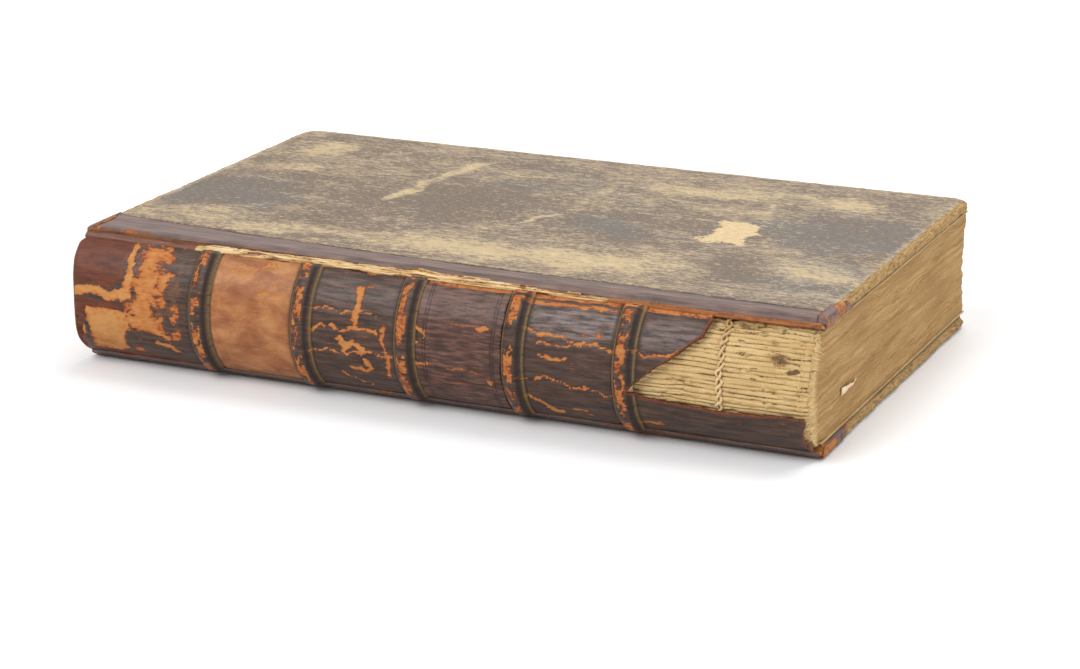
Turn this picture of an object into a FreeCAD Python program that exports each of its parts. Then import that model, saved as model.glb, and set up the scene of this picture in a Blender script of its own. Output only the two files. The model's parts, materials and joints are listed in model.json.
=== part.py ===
"""Antique book in worn quarter leather, lying on its back cover.

The book is rounded and sewn on five raised cords, whose ends are laced into two pasteboard boards.
Calf covers the spine and a strip of each board, and paper covers the rest.
The leather is torn away at the tail of the spine, apart from a strip along the back joint, so the
folds of the sections show there. The front joint is cracked, and only its cords hold the board.

Frame, in millimetres: +X runs from the head of the spine to its tail, +Y from the spine to the
fore edge and +Z from the back cover to the front cover. The origin is the centre of the bounding
box at its lowest face, which is the outside of the back cover.
"""

import FreeCAD
import Part

import math
import os

V = FreeCAD.Vector

# Overall size
board_length = 205.0
board_width = 122.0
book_thickness = 36.0

# Covers
board_thickness = 3.0
side_paper_thickness = 0.3
side_paper_worn_edge = 1.5
pastedown_thickness = 0.2
pastedown_margin = 3.5
cover_leather_thickness = 0.8
leather_reach = 14.0
leather_lip = 0.6
leather_turn_in_length = 13.0
leather_turn_in_thickness = 0.4
paper_turn_in_width = 12.0
paper_turn_in_thickness = 0.2
paper_turn_in_worn_edge = 1.0
joint_clearance = 0.3
board_corner_radius = 5.5
board_spine_corner_radius = 1.5

# Laced cord slips in each board
slip_width = 4.0
slip_thickness = 0.7
slip_reach = 9.0
slip_hole_radius = 1.0

# Text block and endpapers
head_square = 3.0
tail_square = 1.0
fore_edge_square = 0.8
flyleaf_thickness = 0.3
page_gap = 0.1
spine_rounding = 9.4
shoulder_height = 1.65
fore_edge_hollow = 2.0
section_count = 30
fold_depth = 0.35

# Spine: sewing, linings and leather
skin_clearance = 0.05
lining_thickness = 0.3
spine_leather_thickness = 0.9
joint_trim = 2.1
spine_leather_head = 1.1
headcap_depth = 1.9
headcap_thickness = 0.6
band_count = 5
first_band = 39.0
band_pitch = 29.5
band_height = 1.6
band_half_width = 2.9
cord_height = 1.85
cord_half_width = 1.9
kettle_from_head = 14.0
kettle_from_tail = 23.0
kettle_thread_radius = 0.35
kettle_knot_radius = 0.6
kettle_knot_length = 0.9
kettle_sink = 0.25
endband_radius = 0.6
label_thickness = 0.2
label_band_index = 2
label_inset = 3.6
label_height = 27.0

# Outline of the tear, as (distance from the board's head edge, height above the book's underside).
tear_diagonal = [(177.2, 33.4), (176.0, 29.6), (171.4, 25.7), (166.6, 21.8), (163.4, 19.3), (157.9, 14.6)]
strip_top = [(163.0, 12.8), (179.9, 11.7), (190.0, 12.1), (197.0, 12.8), (202.9, 12.8)]
strip_end = [(203.1, 11.4), (201.8, 6.2), (203.0, 4.4)]

# Derived places
cover_thickness = side_paper_thickness + board_thickness + pastedown_thickness
cover_inside = side_paper_thickness + board_thickness
head_x = -board_length / 2
tail_x = board_length / 2
text_head_x = head_x + head_square
text_tail_x = tail_x - tail_square
text_length = text_tail_x - text_head_x
text_bottom = cover_thickness + page_gap + flyleaf_thickness
text_top = book_thickness - text_bottom
shoulder_half = (text_top - text_bottom) / 2 + shoulder_height
fold_radius = (shoulder_half**2 + spine_rounding**2) / (2 * spine_rounding)
lining_radius = fold_radius + skin_clearance
leather_radius = lining_radius + lining_thickness + skin_clearance
leather_outside = leather_radius + spine_leather_thickness
crest_reach = leather_outside + band_height - (fold_radius - spine_rounding)
joint_y = (crest_reach - board_width) / 2
fore_edge_y = joint_y + board_width
text_width = board_width - fore_edge_square
axis_y = joint_y + fold_radius - spine_rounding
axis_z = book_thickness / 2
band_x = [head_x + first_band + band_pitch * i for i in range(band_count)]
REACH = 2 * book_thickness


def box(x0, x1, y0, y1, z0, z1):
    """A box between two corners."""
    return Part.makeBox(x1 - x0, y1 - y0, z1 - z0, V(x0, y0, z0))


def rounded_plate(x0, x1, y0, y1, z0, z1, spine_radius, fore_radius):
    """A flat plate whose corners are rounded, those at the spine and those at the fore edge."""
    plate = box(x0, x1, y0, y1, z0, z1)
    upright = [e for e in plate.Edges if abs(e.Vertexes[0].Z - e.Vertexes[1].Z) > 0.5 * (z1 - z0)]
    at_spine = [e for e in upright if e.Vertexes[0].Y < (y0 + y1) / 2]
    at_fore = [e for e in upright if e.Vertexes[0].Y > (y0 + y1) / 2]
    if spine_radius:
        plate = plate.makeFillet(spine_radius, at_spine)
        upright = [e for e in plate.Edges if e.BoundBox.ZLength > 0.5 * (z1 - z0)]
        at_fore = [e for e in upright if e.Vertexes[0].Y > y1 - 1e-6]
    return plate.makeFillet(fore_radius, at_fore)


def spine_point(x, radius):
    """A point of a spine profile, drawn straight out from the spine's axis towards -Y."""
    return V(x, axis_y - radius, axis_z)


def around_spine(edges):
    """Turns a closed profile about the spine's axis and keeps the part between the two joints."""
    turn = 150.0
    face = Part.Face(Part.Wire(edges))
    face.rotate(V(0, axis_y, axis_z), V(1, 0, 0), -turn / 2)
    solid = face.revolve(V(0, axis_y, axis_z), V(1, 0, 0), turn)
    between_joints = box(head_x - REACH, tail_x + REACH, axis_y - REACH, joint_y,
                         joint_trim, book_thickness - joint_trim)
    return solid.common(between_joints)


def lines(points, closed=True):
    """Straight edges through the points."""
    ends = points[1:] + points[:1] if closed else points[1:]
    return [Part.makeLine(a, b) for a, b in zip(points, ends)]


def arc(a, b, c):
    """An arc from a through b to c."""
    return Part.Arc(a, b, c).toShape()


def ring(x0, x1, inner, outer):
    """A plain curved sheet on the spine."""
    corners = [(x0, inner), (x1, inner), (x1, outer), (x0, outer)]
    return around_spine(lines([spine_point(x, r) for x, r in corners]))


# Text block

def fold_point(step, radius):
    """A point on the rounded spine, counted in sections from the back joint."""
    span = 2 * math.asin(shoulder_half / fold_radius)
    angle = -span / 2 + span * step / section_count
    return V(text_head_x, axis_y - radius * math.cos(angle), axis_z + radius * math.sin(angle))


def text_block():
    """The leaves: folded sections at the rounded spine, shoulders at the joints, hollow fore edge."""
    valley = fold_radius - fold_depth
    valleys = [fold_point(i, valley) for i in range(section_count + 1)]
    crests = [fold_point(i + 0.5, fold_radius) for i in range(section_count)]
    folds = [arc(a, c, b) for a, c, b in zip(valleys, crests, valleys[1:])]
    fore_y = joint_y + text_width
    ledge_top = V(text_head_x, joint_y, valleys[-1].z)
    ledge_bottom = V(text_head_x, joint_y, valleys[0].z)
    top_spine = V(text_head_x, joint_y, text_top)
    bottom_spine = V(text_head_x, joint_y, text_bottom)
    top_fore = V(text_head_x, fore_y, text_top)
    bottom_fore = V(text_head_x, fore_y, text_bottom)
    hollow = V(text_head_x, fore_y - fore_edge_hollow, axis_z)
    edges = folds + [
        Part.makeLine(valleys[-1], ledge_top),
        Part.makeLine(ledge_top, top_spine),
        Part.makeLine(top_spine, top_fore),
        arc(top_fore, hollow, bottom_fore),
        Part.makeLine(bottom_fore, bottom_spine),
        Part.makeLine(bottom_spine, ledge_bottom),
        Part.makeLine(ledge_bottom, valleys[0]),
    ]
    block = Part.Face(Part.Wire(edges)).extrude(V(text_length, 0, 0))
    for x in kettle_places():
        block = block.cut(kettle_groove(x))
    return block


def flyleaf(bottom):
    """The free endpaper, at the given height."""
    return box(text_head_x, text_tail_x, joint_y + joint_clearance, joint_y + text_width,
               bottom, bottom + flyleaf_thickness)


# Sewing

def kettle_places():
    """Where the two kettle stitches cross the spine."""
    return [text_head_x + kettle_from_head, text_tail_x - kettle_from_tail]


def kettle_groove(x):
    """The nick in the folds that a kettle stitch lies in."""
    half = kettle_knot_radius + 2 * skin_clearance
    floor = kettle_radius() - math.hypot(kettle_knot_radius, kettle_knot_length / 2)
    return ring(x - half, x + half, floor, fold_radius + REACH)


def kettle_radius():
    """Distance of a kettle stitch's thread from the spine's axis."""
    return fold_radius - kettle_sink - kettle_thread_radius


def kettle_stitch(x):
    """The linking thread across the folds, with a knot at each section."""
    radius = kettle_radius()
    circle = Part.makeCircle(kettle_thread_radius, spine_point(x, radius), V(0, 0, 1))
    thread = around_spine([circle])
    knots = []
    for i in range(1, section_count - 1):
        centre = fold_point(i + 0.5, radius)
        centre.x = x
        along = V(1, 0, 0).cross(centre - V(x, axis_y, axis_z)).normalize()
        start = centre - along * (kettle_knot_length / 2)
        knots.append(Part.makeCylinder(kettle_knot_radius, kettle_knot_length, start, along))
    return thread.fuse(knots).removeSplitter()


def sewing_cord(x):
    """One raised cord, flattened where it lies on the folds."""
    base = fold_radius + skin_clearance
    left = spine_point(x - cord_half_width, base)
    crest = spine_point(x, base + cord_height)
    right = spine_point(x + cord_half_width, base)
    return around_spine([arc(left, crest, right), Part.makeLine(right, left)])


# Spine covering

def spine_lining(index):
    """The paper lining of one panel between the cords, or between the head and the first cord."""
    gap = cord_half_width + 4 * skin_clearance
    start = text_head_x if index == 0 else band_x[index - 1] + gap
    return ring(start, band_x[index] - gap, lining_radius, lining_radius + lining_thickness)


def spine_skin_edges():
    """Profile of the spine leather: flat panels, a hump over each cord and a turned-in headcap."""
    head = head_x + spine_leather_head
    inner_half = band_half_width - spine_leather_thickness
    inner, outer = [], []
    inner_at = spine_point(head + headcap_thickness, leather_radius)
    outer_at = spine_point(head, leather_outside)
    for x in band_x:
        for edges, at, half, radius in ((inner, inner_at, inner_half, leather_radius),
                                        (outer, outer_at, band_half_width, leather_outside)):
            start = spine_point(x - half, radius)
            end = spine_point(x + half, radius)
            edges.append(Part.makeLine(at, start))
            edges.append(arc(start, spine_point(x, radius + band_height), end))
        inner_at = spine_point(x + inner_half, leather_radius)
        outer_at = spine_point(x + band_half_width, leather_outside)
    inner_tail = spine_point(tail_x, leather_radius)
    outer_tail = spine_point(tail_x, leather_outside)
    lip = leather_outside - spine_leather_thickness - headcap_depth
    inner.append(Part.makeLine(inner_at, inner_tail))
    outer.append(Part.makeLine(outer_at, outer_tail))
    headcap = lines([
        spine_point(head + headcap_thickness, leather_radius),
        spine_point(head + headcap_thickness, lip),
        spine_point(head, lip),
        spine_point(head, leather_outside),
    ], closed=False)
    return inner + [Part.makeLine(inner_tail, outer_tail)] + outer[::-1] + headcap


def tear():
    """The piece of leather that is lost, as a block across the spine."""
    past_tail = board_length + REACH
    outline = [(tear_diagonal[0][0], book_thickness)] + tear_diagonal + strip_top
    outline += strip_end + [(strip_end[-1][0], 0.0), (past_tail, 0.0), (past_tail, book_thickness)]
    points = [V(head_x + x, axis_y, z) for x, z in outline]
    return Part.Face(Part.Wire(lines(points))).extrude(V(0, -REACH, 0))


def spine_leather():
    """The calf over the spine, in one piece, torn away at the tail."""
    return around_spine(Part.__sortEdges__(spine_skin_edges())).cut(tear())


def volume_label():
    """The thin dark leather label in the fourth panel."""
    start = band_x[label_band_index] + label_inset
    end = band_x[label_band_index + 1] - label_inset
    base = leather_outside + skin_clearance / 2
    sheet = ring(start, end, base, base + label_thickness)
    return sheet.common(box(head_x, tail_x, axis_y - REACH, axis_y,
                            axis_z - label_height / 2, axis_z + label_height / 2))


def head_endband():
    """The rolled band at the head of the text block, tucked behind the headcap."""
    x = text_head_x - endband_radius - skin_clearance
    radius = fold_radius - fold_depth - endband_radius
    return around_spine([Part.makeCircle(endband_radius, spine_point(x, radius), V(0, 0, 1))])


# Covers: each is drawn as the back cover, whose outside is at the bottom, and mirrored for the front

def board_leather():
    """The strip of calf on a board, turned in over the board's head and tail edges."""
    inner_y = joint_y + joint_clearance
    reach_y = joint_y + leather_reach
    strip = box(head_x, tail_x, joint_y - leather_lip, reach_y, 0, cover_leather_thickness)
    pieces = []
    for outer_x, inward in ((head_x, 1), (tail_x, -1)):
        edge_x = outer_x + inward * cover_leather_thickness
        turn_x = outer_x + inward * leather_turn_in_length
        pieces.append(box(min(outer_x, edge_x), max(outer_x, edge_x), inner_y, reach_y, 0, cover_inside))
        pieces.append(box(min(outer_x, turn_x), max(outer_x, turn_x), inner_y, reach_y,
                          cover_inside - leather_turn_in_thickness, cover_inside))
    return strip.fuse(pieces).removeSplitter()


def side_paper():
    """The paper side, worn back from the board's edges."""
    worn = side_paper_worn_edge
    return rounded_plate(head_x + worn, tail_x - worn, joint_y + leather_reach, fore_edge_y - worn,
                         0, side_paper_thickness, 0, board_corner_radius)


def paper_turn_in():
    """What is left of the side paper inside the board, along its three free edges."""
    worn = paper_turn_in_worn_edge
    bottom = cover_inside - paper_turn_in_thickness
    outer = rounded_plate(head_x + worn, tail_x - worn, joint_y + leather_reach, fore_edge_y - worn,
                          bottom, cover_inside, 0, board_corner_radius)
    width = worn + paper_turn_in_width
    return outer.cut(box(head_x + width, tail_x - width, joint_y, fore_edge_y - width, bottom, cover_inside))


def pastedown():
    """The endpaper leaf that is pasted inside the board."""
    half = text_length / 2 - pastedown_margin / 2
    centre = (text_head_x + text_tail_x) / 2
    return box(centre - half, centre + half, joint_y + 2 * joint_clearance, fore_edge_y - pastedown_margin,
               cover_inside, cover_thickness)


def cord_slips():
    """The frayed cord ends, laid over the board under the leather and laced in through a hole."""
    slips = []
    for x in band_x:
        top = cover_leather_thickness + slip_thickness
        flat = box(x - slip_width / 2, x + slip_width / 2, joint_y + joint_clearance,
                   joint_y + slip_reach, cover_leather_thickness, top)
        hole_y = joint_y + slip_reach - slip_width / 2
        peg = Part.makeCylinder(slip_hole_radius, cover_inside - cover_leather_thickness,
                                V(x, hole_y, cover_leather_thickness))
        slips.append(flat.fuse(peg).removeSplitter())
    return Part.makeCompound(slips)


def board():
    """The pasteboard, with its corners worn round."""
    plate = rounded_plate(head_x, tail_x, joint_y + joint_clearance, fore_edge_y,
                          side_paper_thickness, cover_inside, board_spine_corner_radius, board_corner_radius)
    return plate.cut(board_leather()).cut(paper_turn_in()).cut(cord_slips())


def for_front(shape):
    """The same piece on the front cover."""
    return shape.mirror(V(0, 0, axis_z), V(0, 0, 1))


def export(name, shape):
    """Writes one named piece and prints its size."""
    solids = shape.Solids
    keep = solids[0] if len(solids) == 1 else Part.makeCompound(solids)
    keep.exportStep(f"parts/{name}.step")
    size = keep.BoundBox
    print(f"{name}: {len(solids)} solid(s), {size.XLength:.1f} x {size.YLength:.1f} x {size.ZLength:.1f} mm, "
          f"{keep.Volume / 1000:.2f} cm3, valid {keep.isValid()}")


def main():
    os.makedirs("parts", exist_ok=True)
    export("text_block", text_block())
    export("back_flyleaf", flyleaf(cover_thickness + page_gap))
    export("front_flyleaf", flyleaf(text_top))
    for name, x in zip(("head_kettle_stitch", "tail_kettle_stitch"), kettle_places()):
        export(name, kettle_stitch(x))
    for i, x in enumerate(band_x):
        export(f"sewing_cord_{i + 1}", sewing_cord(x))
        export(f"spine_lining_{i + 1}", spine_lining(i))
    export("spine_leather", spine_leather())
    export("volume_label", volume_label())
    export("head_endband", head_endband())
    for name, make in (("board", board), ("leather", board_leather), ("side_paper", side_paper),
                       ("paper_turn_in", paper_turn_in), ("pastedown", pastedown),
                       ("cord_slips", cord_slips)):
        piece = make()
        export(f"back_{name}", piece)
        export(f"front_{name}", for_front(piece))


main()
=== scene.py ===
"""Looks of the antique book: worn calf, rubbed paper sides, frayed boards and old paper.

Meshes are worked out in millimetres, in the frame of the part, and scaled to metres when they are made.
Places on the book are given as the distance from the head edge of the boards, from the joint, and
along the curve of the spine from its middle.
"""

import json
import math

import bmesh
import bpy
import numpy as np
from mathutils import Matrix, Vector

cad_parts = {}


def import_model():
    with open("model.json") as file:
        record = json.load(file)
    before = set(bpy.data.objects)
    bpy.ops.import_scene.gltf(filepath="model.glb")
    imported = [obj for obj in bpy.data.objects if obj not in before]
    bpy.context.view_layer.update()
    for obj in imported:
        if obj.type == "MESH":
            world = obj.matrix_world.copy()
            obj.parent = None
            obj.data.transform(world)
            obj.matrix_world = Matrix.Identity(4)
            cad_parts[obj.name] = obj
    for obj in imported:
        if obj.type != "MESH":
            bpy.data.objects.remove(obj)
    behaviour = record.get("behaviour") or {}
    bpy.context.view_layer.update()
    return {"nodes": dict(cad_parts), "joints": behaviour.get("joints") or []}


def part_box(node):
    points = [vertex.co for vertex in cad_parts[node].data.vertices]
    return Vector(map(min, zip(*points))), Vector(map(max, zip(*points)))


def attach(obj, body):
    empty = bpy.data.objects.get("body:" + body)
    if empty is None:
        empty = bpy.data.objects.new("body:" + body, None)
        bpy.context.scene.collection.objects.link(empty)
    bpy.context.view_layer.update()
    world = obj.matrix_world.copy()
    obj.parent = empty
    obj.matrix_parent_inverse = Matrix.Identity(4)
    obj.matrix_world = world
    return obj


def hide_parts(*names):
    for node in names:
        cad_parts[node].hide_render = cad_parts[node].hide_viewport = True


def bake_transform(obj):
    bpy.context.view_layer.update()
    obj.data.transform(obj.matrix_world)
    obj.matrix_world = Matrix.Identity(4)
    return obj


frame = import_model()

MM = 0.001


def box_mm(node):
    """Lowest and highest corner of a solid, in millimetres."""
    lo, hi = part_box(node)
    return np.array(lo) / MM, np.array(hi) / MM


# Places taken from the frame

BOARD_LO, BOARD_HI = box_mm("front_board")
TEXT_LO, TEXT_HI = box_mm("text_block")
LEATHER_LO, LEATHER_HI = box_mm("spine_leather")
LABEL_LO, LABEL_HI = box_mm("volume_label")
TOP = box_mm("front_leather")[1][2]
JOINT_Y = frame["joints"][0]["pos_m"][1] / MM
HEAD_X = BOARD_LO[0]
LENGTH = BOARD_HI[0] - HEAD_X
WIDTH = BOARD_HI[1] - JOINT_Y
MID_Z = TOP / 2
BANDS = [sum(b[0] for b in box_mm(f"sewing_cord_{i}")) / 2 - HEAD_X for i in range(1, 6)]
KETTLES = [sum(b[0] for b in box_mm(f"{end}_kettle_stitch")) / 2 for end in ("head", "tail")]
TRIM_Z = LEATHER_HI[2]
TEXT_BOTTOM = box_mm("back_flyleaf")[1][2]
TEXT_TOP = box_mm("front_flyleaf")[0][2]

# Sizes of the spine and the leaves, as in the solids

SPINE_ROUNDING = JOINT_Y - TEXT_LO[1]
SHOULDER_HALF = 15.75
FOLD_RADIUS = (SHOULDER_HALF**2 + SPINE_ROUNDING**2) / (2 * SPINE_ROUNDING)
AXIS_Y = TEXT_LO[1] + FOLD_RADIUS
BAND_HEIGHT = 1.6
BAND_HALF = 2.9
SPINE_LEATHER_THICKNESS = 0.9
LEATHER_OUT = AXIS_Y - LEATHER_LO[1] - BAND_HEIGHT
LEATHER_IN = LEATHER_OUT - SPINE_LEATHER_THICKNESS
HALF_ARC = LEATHER_OUT * math.asin((TRIM_Z - MID_Z) / LEATHER_OUT)
TEXT_THICKNESS = TEXT_TOP - TEXT_BOTTOM
FORE_HOLLOW = 2.0
SECTIONS = 30


# Noise and marks

def lattice(i, j, seed):
    """Evenly spread numbers from 0 to 1, one for each whole-number place."""
    h = (i * 374761393 + j * 668265263 + seed * 2246822519) & 0xFFFFFFFF
    h = ((h ^ (h >> 13)) * 1274126177) & 0xFFFFFFFF
    h = ((h ^ (h >> 15)) * 2654435761) & 0xFFFFFFFF
    return ((h ^ (h >> 16)) & 0xFFFFFF) / 0xFFFFFF


def grain(u, v, cell_u, cell_v, seed):
    """Smooth noise from 0 to 1, with cells of the given size."""
    u, v = np.broadcast_arrays(np.asarray(u, float) / cell_u, np.asarray(v, float) / cell_v)
    i, j = np.floor(u).astype(np.int64), np.floor(v).astype(np.int64)
    f, g = u - i, v - j
    f, g = f * f * (3 - 2 * f), g * g * (3 - 2 * g)
    low = lattice(i, j, seed) * (1 - f) + lattice(i + 1, j, seed) * f
    high = lattice(i, j + 1, seed) * (1 - f) + lattice(i + 1, j + 1, seed) * f
    return low * (1 - g) + high * g


def rough(u, v, cell_u, cell_v, seed, octaves=4):
    """Noise in several sizes, each half as large as the last, from 0 to 1."""
    total, weight = 0, 0
    for k in range(octaves):
        share = 0.55**k
        total = total + share * grain(u, v, cell_u / 2**k, cell_v / 2**k, seed + 17 * k)
        weight += share
    return total / weight


def uneven(u, v, cell_u, cell_v, seed, octaves=4):
    """The same noise, moved to lie around 0."""
    return rough(u, v, cell_u, cell_v, seed, octaves) - 0.5


def step(value, start, end):
    """Smooth change from 0 at start to 1 at end."""
    t = np.clip((value - start) / (end - start), 0, 1)
    return t * t * (3 - 2 * t)


def line_distance(u, v, points):
    """Distance from each place to a line through the points."""
    nearest = np.full(np.shape(u), 1e9)
    for (u0, v0), (u1, v1) in zip(points, points[1:]):
        du, dv = u1 - u0, v1 - v0
        t = np.clip(((u - u0) * du + (v - v0) * dv) / max(du * du + dv * dv, 1e-9), 0, 1)
        nearest = np.minimum(nearest, np.hypot(u - u0 - t * du, v - v0 - t * dv))
    return nearest


def inside(u, v, points):
    """Signed distance to a closed outline: positive inside it."""
    closed = points + points[:1]
    within = np.zeros(np.shape(u), bool)
    for (u0, v0), (u1, v1) in zip(closed, closed[1:]):
        crosses = (v0 > v) != (v1 > v)
        at = u0 + (v - v0) * (u1 - u0) / ((v1 - v0) or 1e-9)
        within ^= crosses & (u < at)
    distance = line_distance(u, v, closed)
    return np.where(within, distance, -distance)


def oval_distance(u, v, centre, radii, turn):
    """Distance from the middle of an oval, as a share of its radii, turned by an angle in degrees."""
    c, s = math.cos(math.radians(turn)), math.sin(math.radians(turn))
    a, b = u - centre[0], v - centre[1]
    return np.hypot((a * c + b * s) / radii[0], (b * c - a * s) / radii[1])


def stroke(u, v, points, width):
    """1 along a line of marks, falling to 0 at its width."""
    return np.clip(1.5 - 1.5 * line_distance(u, v, points) / width, 0, 1)


def spot(u, v, centre, radii, turn=0.0):
    """1 inside an oval, falling to 0 around it."""
    return np.clip(1.8 - 1.4 * oval_distance(u, v, centre, radii, turn), 0, 1)


def area(u, v, points, soft=0.9):
    """1 inside an outline, falling to 0 across its edge."""
    return np.clip(0.5 + inside(u, v, points) / soft, 0, 1)


def glow(u, v, centre, radii, turn=0.0):
    """A cloud with no edge around a place."""
    return np.exp(-oval_distance(u, v, centre, radii, turn) ** 2)


def warp(u, v, amount, cell, seed):
    """Places pushed about by noise, so that what is painted there gets a ragged outline."""
    return (u + 2 * amount * uneven(u, v, cell, cell, seed),
            v + 2 * amount * uneven(u, v, cell, cell, seed + 5))


def paint(u, v, marks):
    """Lays strokes and spots over each other: each is (shape, strength, *what the shape needs)."""
    field = np.zeros(np.shape(u))
    for shape, strength, *rest in marks:
        field = np.maximum(field, strength * shape(u, v, *rest))
    return field


# Meshes

def make(name, points, faces, attributes, material, body, slot, nodes=()):
    """Makes one piece from points in millimetres, turns its faces outwards and puts it on its body."""
    used, faces = np.unique(faces, return_inverse=True)
    faces = faces.reshape(-1, 4)
    mesh = bpy.data.meshes.new(name)
    mesh.vertices.add(len(used))
    mesh.vertices.foreach_set("co", (points[used] * MM).astype(np.float32).ravel())
    mesh.loops.add(faces.size)
    mesh.loops.foreach_set("vertex_index", faces.astype(np.int32).ravel())
    mesh.polygons.add(len(faces))
    mesh.polygons.foreach_set("loop_start", np.arange(0, faces.size, 4, dtype=np.int32))
    mesh.update(calc_edges=True)
    for key, values in attributes.items():
        kind, field = ("FLOAT_VECTOR", "vector") if values.ndim == 2 else ("FLOAT", "value")
        layer = mesh.attributes.new(key, kind, "POINT")
        layer.data.foreach_set(field, values[used].astype(np.float32).ravel())
    mesh.validate()
    turned = bmesh.new()
    turned.from_mesh(mesh)
    bmesh.ops.recalc_face_normals(turned, faces=turned.faces)
    turned.to_mesh(mesh)
    turned.free()
    mesh.polygons.foreach_set("use_smooth", np.ones(len(mesh.polygons), bool))
    mesh.materials.append(material)
    piece = bpy.data.objects.new(name, mesh)
    bpy.context.scene.collection.objects.link(piece)
    if body:
        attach(piece, body)
    if nodes:
        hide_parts(*nodes)
    return piece


def grid_faces(rows, cols):
    """Quads of a grid of points, counted row by row."""
    index = np.arange(rows * cols).reshape(rows, cols)
    return np.stack([index[:-1, :-1], index[1:, :-1], index[1:, 1:], index[:-1, 1:]], -1).reshape(-1, 4)


def snap(u, v, lost):
    """Which cells of a grid are kept where lost is negative, with the edge points moved on to the outline."""
    keep = (lost[:-1, :-1] + lost[1:, :-1] + lost[1:, 1:] + lost[:-1, 1:]) < 0
    touched = np.zeros(lost.shape, int)
    around = np.zeros(lost.shape, int)
    for rows in (slice(None, -1), slice(1, None)):
        for cols in (slice(None, -1), slice(1, None)):
            touched[rows, cols] += keep
            around[rows, cols] += 1
    edge = (touched > 0) & (touched < around)
    lost_u = np.gradient(lost, axis=0) / np.maximum(np.abs(np.gradient(u, axis=0)), 1e-6)
    lost_v = np.gradient(lost, axis=1) / np.maximum(np.abs(np.gradient(v, axis=1)), 1e-6)
    move = np.where(edge, lost, 0) / np.maximum(lost_u**2 + lost_v**2, 0.25)
    limit = 0.7 * max(np.abs(np.diff(u, axis=0)).max(), np.abs(np.diff(v, axis=1)).max())
    return keep, u - np.clip(move * lost_u, -limit, limit), v - np.clip(move * lost_v, -limit, limit)


def shell_faces(keep):
    """Quads of a closed sheet: outside, inside (its points follow the outside's) and the rim between."""
    rows, cols = keep.shape[0] + 1, keep.shape[1] + 1
    count = rows * cols
    index = np.arange(count).reshape(rows, cols)
    a, b, c, d = index[:-1, :-1], index[1:, :-1], index[1:, 1:], index[:-1, 1:]
    outer = np.stack([a, b, c, d], -1)[keep]
    padded = np.pad(keep, 1)
    faces = [outer, outer[:, ::-1] + count]
    for start, end, neighbour in ((a, b, padded[1:-1, :-2]), (b, c, padded[2:, 1:-1]),
                                  (c, d, padded[1:-1, 2:]), (d, a, padded[:-2, 1:-1])):
        rim = keep & ~neighbour
        p, q = start[rim], end[rim]
        faces.append(np.stack([q, p, p + count, q + count], -1))
    return np.concatenate(faces)


def stack(*parts):
    """Points from three arrays of coordinates."""
    return np.stack(np.broadcast_arrays(*parts), -1)


def from_joint(x, y, z):
    """Points from the distance to the head edge, the distance to the joint and the height."""
    return stack(x + HEAD_X, y + JOINT_Y, z)


def from_side(side, points):
    """A cover is worked out as the front one, and turned over for the back one."""
    if side == "back":
        points = points * [1, 1, -1] + [0, 0, TOP]
    return points


def both(values, shape):
    """Repeats a grid's values for the outside and the inside of a sheet."""
    values = np.asarray(values)
    flat = values.reshape(-1, 3) if values.ndim == 3 else np.broadcast_to(values, shape).reshape(-1)
    return np.concatenate([flat, flat])


def shell(outside, within, keep=None, **attributes):
    """Points, faces and attributes of the closed sheet between two grids of points."""
    shape = outside.shape[:2]
    if keep is None:
        keep = np.ones((shape[0] - 1, shape[1] - 1), bool)
    points = np.concatenate([outside.reshape(-1, 3), within.reshape(-1, 3)])
    return points, shell_faces(keep), {key: both(values, shape) for key, values in attributes.items()}


def join(parts):
    """Puts the points, the faces and the attributes of several parts together."""
    starts = np.cumsum([0] + [len(points) for points, _, _ in parts])
    faces = [part[1] + start for part, start in zip(parts, starts)]
    values = {key: np.concatenate([part[2][key] for part in parts]) for key in parts[0][2]}
    return np.concatenate([part[0] for part in parts]), np.concatenate(faces), values


TUBE_SIDES = 6
TUBE_CAP = np.array([[0, 1, 2, 3], [0, 3, 4, 5]])


def tube(path, radius, **attributes):
    """A closed tube along a path, as a part for join; radius may differ from point to point."""
    along = np.gradient(path, axis=0)
    along /= np.linalg.norm(along, axis=1)[:, None]
    side = np.cross(along, [0.3, 0.2, 1.0])
    side /= np.linalg.norm(side, axis=1)[:, None]
    other = np.cross(along, side)
    turn = np.linspace(0, 2 * math.pi, TUBE_SIDES, endpoint=False)
    ring = np.cos(turn)[None, :, None] * side[:, None] + np.sin(turn)[None, :, None] * other[:, None]
    points = (path[:, None] + radius[:, None, None] * ring).reshape(-1, 3)
    index = np.arange(len(path) * TUBE_SIDES).reshape(len(path), TUBE_SIDES)
    beside = np.roll(index, -1, axis=1)
    faces = np.stack([index[:-1], beside[:-1], beside[1:], index[1:]], -1).reshape(-1, 4)
    faces = np.concatenate([faces, index[0][TUBE_CAP], index[-1][TUBE_CAP][:, ::-1]])
    return points, faces, attributes


# Materials

def colour(red, green, blue):
    """A colour as it looks on screen, 0 to 255, as the linear values that a shader takes."""
    def linear(c):
        c /= 255
        return c / 12.92 if c <= 0.04045 else ((c + 0.055) / 1.055) ** 2.4
    return (linear(red), linear(green), linear(blue), 1.0)


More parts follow.
